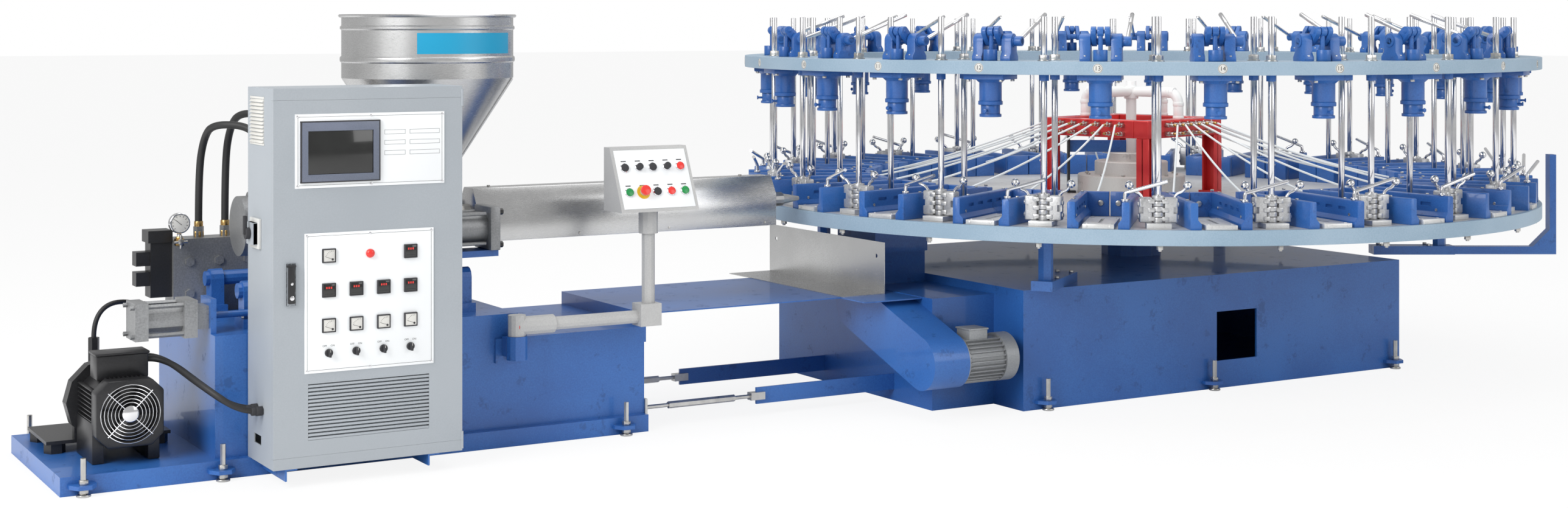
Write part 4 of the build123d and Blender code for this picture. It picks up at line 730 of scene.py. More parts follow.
@dataclass
class Turntable:
    """Table, ring, bars and the stations between them."""

    radius: float = 1819
    top: float = TABLE_TOP
    rim_bottom: float = 718
    ring_inner: float = 1470
    ring_bottom: float = RING_BOTTOM
    ring_top: float = RING_TOP
    outer_bar: float = CIRCLE
    inner_bar: float = 1520
    bar_radius: float = 12.5
    bar_top: float = 1602
    body: str = "turntable"

    def build(self) -> None:
        """Make the table's own pieces."""
        self.table()
        self.ring()
        self.bars()

    def table(self) -> None:
        """Rim, worn top and the plates of the bays."""
        r, top = self.radius, self.top
        rim = Bench.turned([(self.rim_bottom, r - 22), (self.rim_bottom, r - 1),
                            (self.rim_bottom + 1, r), (top - 1, r), (top, r - 1.2),
                            (top, r - 22)], 192, loop=True)
        dress(Bench.join("table_rim", [rim]), RIM_GREY, self.body, ["lower_table"], 30)
        disc = Bench.turned([(top - 30, r - 22), (top - 0.3, r - 22), (top - 0.3, 300)], 96)
        hub = Bench.turned([(702, 158), (748, 158)], 64)
        dress(Bench.join("table_top", [disc, hub]), TABLE_STEEL, self.body, (), 30)
        plate = Bench.block((1508, 1808), (-61, 61), (top, top + 19), 1.5)
        slot = Bench.block((1560, 1740), (-7, 7), (top + 10, top + 30), 0)
        plate = Bench.cut(plate, slot)
        screws = [Bench.bar((1806, y, top + 10), (1810, y, top + 10), 5, 12, 0.5)
                  for y in (-45, 45)]
        screws += [Bench.bar((x, y, top + 18), (x, y, top + 21), 6, 12, 0.6)
                   for x in (1530, 1785) for y in (-45, 45)]
        ringed("bay_plates", [plate, *screws], turns(), PLATE_STEEL)
        nut = Bench.bar((1790, 0, 700), (1790, 0, 718), 13, 6, 1)
        stud = Bench.bar((1790, 0, 694), (1790, 0, 702), 7, 12, 1)
        ringed("rim_nuts", [nut, stud], between(), STEEL)

    def ring(self) -> None:
        """Upper ring with its numbered roundels."""
        low, top, r, inner = self.ring_bottom, self.ring_top, self.radius, self.ring_inner
        ring = Bench.turned([(low, inner + 1), (low, r - 1), (low + 1, r), (top - 1, r),
                             (top, r - 1), (top, inner + 1), (top - 1, inner), (low + 1, inner)],
                            192, loop=True)
        bore = Bench.bar((CIRCLE, 0, low - 8), (CIRCLE, 0, top + 8), RAM_BORE, 40)
        Bench.cut(ring, Bench.around(bore, turns()))
        dress(Bench.join("ring_plate", [ring]), RIM_GREY, self.body, ["upper_ring"], 30)
        middle = (low + top) / 2
        discs, figures = [], []
        for number in range(1, STATIONS + 1):
            turn = math.radians(180 + PITCH * (number - 10) + PHASE)
            out = (math.cos(turn), math.sin(turn), 0)
            at = [c * (r - 0.6) for c in out[:2]] + [middle]
            end = [c * (r + 0.3) for c in out[:2]] + [middle]
            discs.append(Bench.bar(at, end, 19, 28, 0.3))
            figures.append(Bench.word(str(number), 24, facing(end, out)))
            figures.append(self._hoop(facing(end, out), 17.4, 1.2))
        dress(Bench.join("number_discs", discs), OFF_WHITE, self.body)
        dress(Bench.join("station_numbers", figures), INK, self.body)

    @staticmethod
    def _hoop(lay: Matrix, radius: float, width: float) -> Piece:
        """Thin printed hoop on a plane."""
        hoop = Bench.turned([(0, radius - width), (0, radius), (0.3, radius),
                             (0.3, radius - width)], 28, loop=True)
        hoop.data.transform(lay)
        return hoop

    def bars(self) -> None:
        """Chromed tie bars with their nuts above and below the ring."""
        r, bars, nuts = self.bar_radius, [], []
        for at, foot in ((self.outer_bar, self.top + 126), (self.inner_bar, self.top)):
            bars.append(Bench.bar((at, 0, foot), (at, 0, self.ring_bottom), r, 28, 0.5))
            bars.append(Bench.bar((at, 0, self.ring_top), (at, 0, self.bar_top - 1), r, 28, 2))
            nuts.append(Bench.bar((at, 0, self.ring_top), (at, 0, self.ring_top + 24), 22, 6, 2))
            nuts.append(Bench.bar((at, 0, self.ring_top), (at, 0, self.ring_top + 4), 26, 24, 1))
        ringed("tie_bar_rods", bars, between(), CHROME, ["tie_bars"])
        ringed("tie_bar_nuts", nuts, between(), STEEL)
        under = [Bench.bar((at, 0, self.ring_bottom - 26), (at, 0, self.ring_bottom), 21, 6, 2)
                 for at in (self.outer_bar, self.inner_bar)]
        ringed("tie_bar_under_nuts", under, between(), BLUE)


@dataclass
class Press:
    """Toggle press of one station: flange, sleeve, ram, head, crank and hand lever."""

    at: float = CIRCLE
    crank_at: float = 1653
    shaft_z: float = 1503
    ring_bottom: float = RING_BOTTOM
    ring_top: float = RING_TOP
    sleeve: float = 124
    sleeve_radius: float = 45
    ram_radius: float = 38.5
    head: tuple[float, float, float] = (120, 118, 67)
    throw: float = 55
    cheek: float = 20
    reach: tuple[float, float] = (300, 110)

    def build(self) -> None:
        """Make the presses: the still ones together, the worked one by its bodies."""
        ringed("press_frame_set", self.frame(), turns(), BLUE, ["press_frames"])
        ringed("press_bolts", self.bolts(), turns(), STEEL)
        stations(("press_ram_set", "worked_ram"), self.ram(), BLUE, "ram", ["press_rams"],
                 ["station_ram"])
        stations(("press_crank_set", "worked_crank"), self.crank(), BLUE, "crank",
                 ["press_cranks"], ["station_crank"])
        stations(("press_levers", "worked_lever"), self.lever(), CHROME, "crank")
        stations(("press_rods", "worked_rod"), self.rod(), BLUE, "rod", (), ["station_rod"])

    def frame(self) -> list[Piece]:
        """Bored flange and sleeve under the ring, bearings on it."""
        x, z, r = self.at, self.ring_bottom, self.sleeve_radius
        end = z - self.sleeve
        flange = Bench.block((x - 75, x + 75), (-85, 85), (z - 22, z), 2.5)
        parts = [
            Bench.cut(flange, Bench.bar((x, 0, z - 30), (x, 0, z + 8), RAM_BORE, 40)),
            Bench.turned([(end, RAM_BORE), (end, r - 2), (end + 3, r), (z - 22, r)], 40,
                         (x, 0, 0)),
            Bench.turned([(z - 34, 47), (z - 22, 60)], 40, (x, 0, 0)),
            Bench.turned([(end, RAM_BORE), (end, 47), (end + 2, 49), (end + 14, 49),
                          (end + 16, 47), (end + 16, RAM_BORE)], 40, (x, 0, 0), loop=True),
        ]
        shaft, top = self.shaft_z, self.ring_top
        for side in (1, -1):
            lay = Matrix(((1, 0, 0, self.crank_at * MM), (0, 0, -1, side * 82 * MM),
                          (0, 1, 0, 0), (0, 0, 0, 1)))
            arc = [(31 * math.cos(t), shaft + 31 * math.sin(t))
                   for t in (math.radians(a) for a in range(0, 181, 15))]
            outline = [(-44, top), (44, top), (44, top + 16), (31, top + 34), *arc,
                       (-31, top + 34), (-44, top + 16)]
            depth = 42 if side > 0 else -42
            parts.append(Bench.prism(outline, lay, depth, 1.5))
            y = sorted((side * 82, side * 86))
            parts.append(Bench.bar((self.crank_at, y[0], shaft), (self.crank_at, y[1], shaft),
                                   24, 24, 1))
        return parts

    def bolts(self) -> list[Piece]:
        """Heads of the flange's and the bearings' bolts."""
        parts = []
        for dx in (-60, 60):
            for y in (-70, 70):
                z = self.ring_bottom - 22
                parts.append(Bench.bar((self.at + dx, y, z - 9), (self.at + dx, y, z), 9, 6, 1))
        for dx in (-36, 36):
            for y in (-61, 61):
                z = self.ring_top + 16
                parts.append(Bench.bar((self.crank_at + dx, y, z - 2),
                                       (self.crank_at + dx, y, z + 7), 7, 6, 0.8))
        return parts

    def ram(self) -> list[Piece]:
        """Ram with its neck, the slotted head and the collar over the ring."""
        z = self.ring_bottom - self.sleeve
        low = z - 48 - self.head[2]
        x, half, wide = self.at, self.head[0] / 2, self.head[1] / 2
        head = Bench.block((x - half, x + half), (-wide, wide), (low, z - 48), 3)
        head = Bench.cut(head, Bench.block((x - 90, x + 90), (-31, 31), (low - 5, low + 25), 0),
                         Bench.block((x - 90, x + 90), (-44, 44), (low + 8, low + 16), 0))
        return [
            head,
            Bench.bar((x, 0, z - 48), (x, 0, z + 3), self.ram_radius, 40, 1),
            Bench.bar((x, 0, z - 48), (x, 0, z - 36), 44, 40, 2),
            Bench.bar((x, 0, self.ring_top), (x, 0, self.ring_top + 45), 28, 28, 2),
            Bench.bar((x + 38, 0, z - 22), (x + 56, 0, z - 22), 5, 12, 1),
            Bench.bar((x + 56, 0, z - 22), (x + 62, 0, z - 22), 9, 6, 1),
        ]

    def crank(self) -> list[Piece]:
        """Cheeks, pin, shaft ends and the lever's hub."""
        parts, x, z, r = [], self.crank_at, self.shaft_z, self.cheek
        for side in (1, -1):
            arcs = [(r * math.cos(t), r * math.sin(t))
                    for t in (math.radians(a) for a in range(90, 271, 18))]
            arcs += [(self.throw + r * math.cos(t), r * math.sin(t))
                     for t in (math.radians(a) for a in range(-90, 91, 18))]
            lay = Matrix(((DIAGONAL, -DIAGONAL, 0, x * MM), (0, 0, 1, side * 17 * MM),
                          (DIAGONAL, DIAGONAL, 0, z * MM), (0, 0, 0, 1)))
            parts.append(Bench.prism(arcs, lay, side * 20, 1.2))
        px = x + self.throw * DIAGONAL
        pz = z + self.throw * DIAGONAL
        parts.append(Bench.bar((px, -39, pz), (px, 39, pz), 8, 20, 1))
        parts.append(Bench.bar((x, -86, z), (x, 118, z), 14, 24, 1))
        parts.append(Bench.bar((x, 83, z), (x, 118, z), 20, 28, 2))
        return parts

    def lever(self) -> list[Piece]:
        """Hand lever with its rounded end."""
        x, y, z = self.crank_at, 100, self.shaft_z
        end = (x - self.reach[0] + 6, y, z + self.reach[1] - 2)
        return [Bench.bar((x - 14, y, z + 5), end, 8, 20, 2),
                Bench.bar((end[0] + 105, y, end[2] - 38.5), end, 8.5, 20, 2.5)]

    def rod(self) -> list[Piece]:
        """Connecting rod from the pin down into the ram's cup."""
        px = self.crank_at + self.throw * DIAGONAL
        pz = self.shaft_z + self.throw * DIAGONAL
        return [Bench.bar((px, -12, pz), (px, 12, pz), 19, 28, 1.5),
                Bench.bar((px, 0, pz - 15), (px, 0, pz - 142), 9, 20, 0)]


@dataclass
class MouldBay:
    """Mould bay of one station: side walls on their feet, back plates, bolts and slots."""

    front: float = 1800
    back: float = 1250
    half: float = 76
    wall: float = 44
    top: float = TABLE_TOP
    height: float = 104

    def build(self) -> None:
        """Make the walls of every bay; the worked bay's walls move."""
        for side, name, other in ((1, "left", "right"), (-1, "right", "left")):
            node = f"mould_wall_{name}"
            low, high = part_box(node)
            own = name if self.which_side(low, high) == side else other
            stations((f"bay_walls_{name}", f"worked_wall_{name}"), self.side_wall(side), BLUE,
                     f"{own}_wall", ["mould_walls"], [f"mould_wall_{own}"])
            stations((f"bay_screws_{name}", f"worked_screws_{name}"), self.screws(side), STEEL,
                     f"{own}_wall")
        ringed("bay_back_plates", self.back_plates(), turns(), BLUE)
        studs = [Bench.bar((self.back, y, self.top + 55), (self.back + 9, y, self.top + 55), 12,
                           20, 3) for y in (-36, 36)]
        studs += [Bench.bar((self.back - 20, 96, self.top + 104),
                            (self.back - 20, 96, self.top + 112), 8, 6, 1)]
        ringed("bay_back_bolts", studs, turns(), STEEL)

    @staticmethod
    def which_side(low: Point, high: Point) -> int:
        """Side of its bay that a worked wall stands on.

        Args:
            low: its box's lowest corner.
            high: its highest.

        Returns:
            1 for the left of someone who looks out from the axis, or -1.
        """
        turn = math.radians(-WORKED_TURN)
        x, y = (low[0] + high[0]) / 2, (low[1] + high[1]) / 2
        return 1 if x * math.sin(turn) + y * math.cos(turn) > 0 else -1

    def side_wall(self, side: int) -> list[Piece]:
        """Wall with its recess and sloped foot."""
        x0, x1, z0, z1 = self.back, self.front, self.top, self.top + self.height
        inner, outer = self.half, self.half + self.wall
        lay = Matrix(((0, 0, 1, x0 * MM), (side, 0, 0, 0), (0, 1, 0, 0), (0, 0, 0, 1)))
        section = [(inner, z0), (outer, z0), (outer, z1 - 8), (outer - 3, z1), (inner + 17, z1),
                   (inner + 14, z1 - 3), (inner + 14, z0 + 38), (inner, z0 + 22)]
        wall = Bench.prism(section, lay, x1 - x0, 1.5)
        slots = []
        for k in range(4):
            x = x0 + 150 + 95 * k
            y = sorted((side * (inner + 8), side * (inner + 22)))
            slots.append(Bench.block((x - 26, x + 26), y, (z0 + 62, z0 + 74), 0))
        return [Bench.cut(wall, *slots)]

    def screws(self, side: int) -> list[Piece]:
        """Cap screws on the wall and the bolts in its inner face."""
        parts = []
        z = self.top + self.height
        y = side * (self.half + 30)
        for x in (self.back + 60, self.front - 120):
            parts.append(Bench.bar((x, y, z - 1), (x, y, z + 5), 7, 6, 1))
        for k in range(2):
            x, z = self.front - 60 - 380 * k, self.top + 46
            parts.append(Bench.bar((x, side * (self.half + 15), z),
                                   (x, side * (self.half + 11), z), 6, 16, 1))
        return parts

    def back_plates(self) -> list[Piece]:
        """Two plates that meet behind the bay, with a wedge's gap between them."""
        z, edge = (self.top, self.top + self.height - 4), 2
        x = (self.back - 38, self.back)
        return [Bench.block(x, (-self.half - 42, -3), z, edge),
                Bench.block(x, (3, self.half + 42), z, edge)]


@dataclass
class Clamp:
    """Hinge casting between two bays, with its ball handles and lock levers."""

    at: float = CIRCLE
    low: float = 798
    height: float = 107
    ball_reach: float = 112
    ball_z: float = 944

    def build(self) -> None:
        """Make every clamp."""
        ringed("clamp_castings", self.casting(), between(), CLAMP_CAST, ["clamp_units"])
        ringed("clamp_bases", self.base(), between(), PLATE_STEEL)
        ringed("clamp_ball_handles", self.handles(), between(), CHROME)
        stations(("lock_levers", "worked_lock_lever"), self.lock(), CHROME, "lock_lever", (),
                 ["clamp_lever"])

    def base(self) -> list[Piece]:
        """Foot of the hinge."""
        return [Bench.block((self.at - 25, self.at + 65), (-48, 48), (TABLE_TOP, self.low), 2)]

    def casting(self) -> list[Piece]:
        """Knuckles one above another, the leaves and their lugs."""
        x, z, h = self.at, self.low, self.height
        parts = []
        for k in range(5):
            a = z + 1 + k * (h - 2) / 5
            parts.append(Bench.bar((x, 0, a), (x, 0, a + (h - 2) / 5 - 2), 24, 28, 2))
        parts.append(Bench.bar((x, 0, z), (x, 0, z + h), 13, 20, 1))
        for side in (1, -1):
            y = sorted((side * 24, side * 74))
            leaf = Bench.block((x - 22, x + 22), y, (z, z + h - 9), 6, 3)
            near = sorted((side * 58, side * 80))
            notch = Bench.block((x + 4, x + 40), near, (z + 36, z + 62), 0)
            parts.append(Bench.cut(leaf, notch))
            for k in range(3):
                a = z + 6 + k * 34
                y = sorted((side * 14, side * 40))
                parts.append(Bench.block((x - 18, x + 26), y, (a, a + 18), 4))
            y = sorted((side * 50, side * 80))
            parts.append(Bench.bar((x + 2, y[0], z + 22), (x + 2, y[1], z + 22), 9, 16, 2))
            parts.append(Bench.bar((x + 2, y[0], z + 70), (x + 2, y[1], z + 70), 9, 16, 2))
        return parts

    def handles(self) -> list[Piece]:
        """Curved shanks with balls."""
        parts = []
        for side in (1, -1):
            ball = (self.at + 12, side * self.ball_reach, self.ball_z)
            foot = (self.at, side * 62, self.low + self.height - 12)
            knee = (self.at + 2, side * 70, self.low + self.height + 6)
            bend = (self.at + 8, side * 98, self.low + self.height + 14)
            parts.append(Bench.wire([foot, knee, bend, ball], 6.5, facets=4))
            parts.append(Bench.ball(ball, 17, 24))
        return parts

    def lock(self) -> list[Piece]:
        """Cam pin and bent lever on a wall."""
        x, y, z = 1762, 98, 882
        end = (x + 19, y + 166, z + 83)
        return [Bench.bar((x, y, z), (x, y, z + 10), 14, 24, 2),
                Bench.wire([(x, y, z), (x, y, z + 34), (x + 1, y + 12, z + 37), end], 7.5,
                           facets=4)]


@dataclass
class Hub:
    """Drum, red manifold and white pipes at the table's middle, with the clear hoses."""

    drums: tuple[tuple[float, float], ...] = ((250, 88), (170, 63), (110, 40))
    half: float = 262
    tube: float = 81
    bottom: float = 1052
    turn: float = 15
    leg: float = 66
    pipe: float = 24
    run_z: float = 1254
    valves: int = 6
    pitch: float = 66

    def build(self) -> None:
        """Make the hub's pieces."""
        self.drum()
        self.manifold()
        self.pipes()
        self.hoses()

    def drum(self) -> None:
        """Stepped drum with its stay and post."""
        low, steps = TABLE_TOP, []
        for radius, height in self.drums:
            steps += [(low, radius), (low + height - 4, radius), (low + height, radius - 4)]
            low += height
        drum = Bench.turned(steps, 96)
        bolts = [Bench.bar((210 * math.cos(t), 210 * math.sin(t), 866),
                           (210 * math.cos(t), 210 * math.sin(t), 874), 9, 6, 1)
                 for t in (math.radians(30 * k + 10) for k in range(12))]
        dress(Bench.join("hub_steps", [drum]), HUB_WHITE, "turntable", ["hub_drum"], 30)
        dress(Bench.join("hub_bolts", bolts), STEEL, "turntable")
        turn = [-31]
        stay = Bench.block((-290, 110), (-4, 4), (low, low + 56), 1)
        ringed("hub_stay", [stay], turn, BLUE)
        post = [Bench.block((-300, -290), (-22, 22), (TABLE_TOP, low + 76), 1),
                Bench.block((-300, -262), (-22, 22), (TABLE_TOP, TABLE_TOP + 10), 1)]
        ringed("hub_post", post, turn, BLACK)

    def manifold(self) -> None:
        """Box tube frame, legs with flanges, and two rows of valves on each side."""
        half, wall, low, top = self.half, self.tube / 2, self.bottom, self.bottom + self.tube
        frame_parts = [
            Bench.block((half - wall, half + wall), (-half - wall, half - wall), (low, top), 5, 3)]
        face = half + wall
        a, b, foot = face - self.leg, face, TABLE_TOP + 12
        frame_parts += [Bench.block((a, b), (-b, -b + 8), (foot, low), 1.5),
                        Bench.block((a, b), (-a - 8, -a), (foot, low), 1.5),
                        Bench.block((a + 29, a + 37), (-b, -a), (foot, low), 1),
                        Bench.block((a - 12, b), (-b, -a + 12), (TABLE_TOP, foot), 1.5)]
        quarters = [self.turn + 90 * k for k in range(4)]
        ringed("manifold_tubes", frame_parts, quarters, RED, ["manifold_frame"])
        bodies, grips, tails = [], [], []
        for k in range(self.valves):
            y = (k - (self.valves - 1) / 2) * self.pitch
            for z, on in ((top - 22, True), (low + 20, False)):
                bodies.append(Bench.bar((face, y, z), (face + 22, y, z), 11, 6, 1))
                bodies.append(Bench.bar((face + 20, y, z), (face + 44, y, z), 8, 16, 1.5))
                tails.append(Bench.bar((face + 42, y, z), (face + 58, y, z), 6, 16, 1))
                if on:
                    bodies.append(Bench.bar((face + 32, y, z), (face + 32, y, z + 16), 4, 10, 0.5))
                    grips.append(Bench.block((face + 4, face + 42), (y - 4, y + 4),
                                             (z + 15, z + 19), 1))
        ringed("valve_bodies", bodies, quarters, STEEL)
        ringed("valve_tails", tails, quarters, BRASS)
        ringed("valve_grips", grips, quarters, RED_PLASTIC)

    def pipes(self) -> None:
        """Riser, four level runs and their elbows."""
        r, z, top = self.pipe, self.run_z, self.bottom + self.tube
        parts = [Bench.bar((0, 0, 968), (0, 0, z + 50), r, 32, 2),
                 Bench.bar((0, 0, z - 34), (0, 0, z + 24), r + 10, 32, 4)]
        arm = [Bench.bar((20, 0, z), (self.half - 20, 0, z), r - 1, 32, 1),
               Bench.wire([(self.half - 60, 0, z), (self.half, 0, z), (self.half, 0, z - 60)],
                          r - 1, facets=6),
               Bench.bar((self.half - 58, 0, z), (self.half - 40, 0, z), r + 1.5, 32, 2),
               Bench.bar((self.half, 0, top), (self.half, 0, z - 50), r - 1, 32, 1),
               Bench.bar((self.half, 0, z - 62), (self.half, 0, z - 44), r + 1.5, 32, 2),
               Bench.bar((self.half, 0, top), (self.half, 0, top + 12), r + 1.8, 32, 2)]
        arms = Bench.around(Bench.join("pipe_arm", arm), [self.turn + 90 * k for k in range(4)])
        dress(Bench.join("water_pipe_runs", [*parts, arms]), WHITE_PIPE, "turntable",
              ["water_pipes"])

    def route(self, k: int) -> list[Vector]:
        """Control points of one clear hose.

        Args:
            k: which hose, counted round the manifold.

        Returns:
            Its points.
        """
        quarter, place = divmod(k, self.valves)
        face = self.half + self.tube / 2 + 60
        y = (place - (self.valves - 1) / 2) * self.pitch
        turn = math.radians(self.turn + 90 * quarter)
        start = Vector((face * math.cos(turn) - y * math.sin(turn),
                        face * math.sin(turn) + y * math.cos(turn), 1111))
        bay = turn + math.radians(PHASE + (place - self.valves / 2) * PITCH)
        reach, aside = 1250 - 40 - 5, -60
        end = Vector((reach * math.cos(bay) - aside * math.sin(bay),
                      reach * math.sin(bay) + aside * math.cos(bay), 852))
        out = Vector((math.cos(turn), math.sin(turn), 0))
        bend = start + (end - start) * 0.55
        bend.z = 928
        lean = (bend - start).angle(out)
        return [start + out * 5 * math.sin(lean), bend, end]

    def hoses(self) -> None:
        """Clear hoses, one down to each bay."""
        for k in range(STATIONS):
            points = self.route(k)
            hose = Bench.wire(points, 4.6, facets=3, keep_curve=True)
            hose.name = f"clear_hose_{k + 1}"
            length = CordTools.length(CordTools.line(hose))
            dress(hose, HOSE_CLEAR, "turntable", ["air_hoses"] if k == 0 else ())


class CordTools:
    """Measures of a hose's own line."""

    @staticmethod
    def line(hose: Piece) -> list[Vector]:
        """Points along a hose's centre, in metres, as its own spline gives them."""
        twin = hose.copy()
        twin.data = hose.data.copy()
        twin.data.bevel_depth = 0
        bpy.context.scene.collection.objects.link(twin)
        bpy.context.view_layer.update()
        bare = bpy.data.meshes.new_from_object(
            twin.evaluated_get(bpy.context.evaluated_depsgraph_get()))
        points = [v.co.copy() for v in bare.vertices]
        bpy.data.objects.remove(twin)
        bpy.data.meshes.remove(bare)
        return points

    @staticmethod
    def length(line: Sequence[Vector]) -> float:
        """Length in metres of a line, from its points."""
        return sum((b - a).length for a, b in zip(line, line[1:]))


@dataclass
class Hoses:
    """Pressure hoses, the pump's hose and the conduits, with their end fittings."""

    block_top: float = 765
    crest: float = 1200

    def build(self) -> None:
        """Make every hose of the injection side."""
        for k, (x0, x1) in enumerate(((-4290, -4150), (-4190, -4090))):
            y, rise = 330, self.crest + 40 * k
            points = [(x0, y, self.block_top + 40), (x0, y, rise - 190),
                      (x0 + 8, y - 40, rise - 60), (x0 + 14, y * 0.55, rise),
                      (x1 - 6, y * 0.2, rise - 10), (x1, 0, rise - 110), (x1, 0, 1000.3)]
            self.pressure(k, points)
        ends = [Bench.bar((x, 330, self.block_top), (x, 330, self.block_top + 22), 20, 6, 2)
                for x in (-4290, -4190)]
        ends += [Bench.bar((x, 330, self.block_top + 20), (x, 330, self.block_top + 60), 16.5,
                           28, 2) for x in (-4290, -4190)]
        dress(Bench.join("block_fittings", ends), BRASS, "base")
        port = [(-4700, 220, 430), (-4700, 220, 500), (-4630, 234, 560), (-4480, 338, 520),
                (-4400, 338, 520)]
        self.still("pump_hose", port, 9, ["small_hoses"])
        for k, y in enumerate((-560, -500)):
            end = (-4612, -200 + 60 * k, 404)
            run = [(CABINET_SIDE, y, 250), (-4382, y, 250), (end[0] + 120, y + 40, 334),
                   (end[0] + 60, end[1], 404), end]
            self.still(f"conduit_{k + 1}", run, 11, ["cable_conduits"] if k == 0 else ())
        glands = []
        for y in (-560, -500):
            glands += [Bench.bar((CABINET_SIDE, y, 250), (-4336, y, 250), 17, 6, 2),
                       Bench.bar((-4334, y, 250), (-4352, y, 250), 14, 20, 2)]
        dress(Bench.join("conduit_glands", glands), BLACK_PLASTIC, "base")

    def pressure(self, k: int, points: list[Point]) -> None:
        """A hose from the block to the moving unit, along a curved route.

        Args:
            k: which of the two.
            points: its route.
        """
        curve = Bench.wire(points, 14, facets=6, keep_curve=True)
        line = CordTools.line(curve)
        length = CordTools.length(line)
        Bench.take(curve)
        bpy.ops.object.convert(target="MESH")
        hose = bpy.context.object
        hose.name = hose.data.name = f"pressure_hose_{k + 1}"
        hose.data.materials.append(RUBBER.make())
        Bench.take(hose)
        bpy.ops.object.shade_smooth_by_angle(angle=math.radians(40))
        points[0][0] * MM
        points[-1][0] * MM
        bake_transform(hose)
        if k == 0:
            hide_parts("pressure_hoses")
        ends = [Bench.bar(points[-1], (points[-1][0], 0, 1040), 16.5, 28, 2)]
        dress(Bench.join(f"hose_ferrule_{k + 1}", ends), BRASS, "injection_unit")

    @staticmethod
    def still(name: str, points: list[Point], radius: float, nodes: Sequence[str]) -> None:
        """A hose or conduit that stays with the base.

        Args:
            name: its name.
            points: its route.
            radius: its radius.
            nodes: the nodes it stands for.
        """
        hose = Bench.wire(points, radius, facets=5, keep_curve=True)
        hose.name = name
        length = CordTools.length(CordTools.line(hose))
        dress(hose, RUBBER, "base", nodes)
        2 * radius * MM


# Injection side

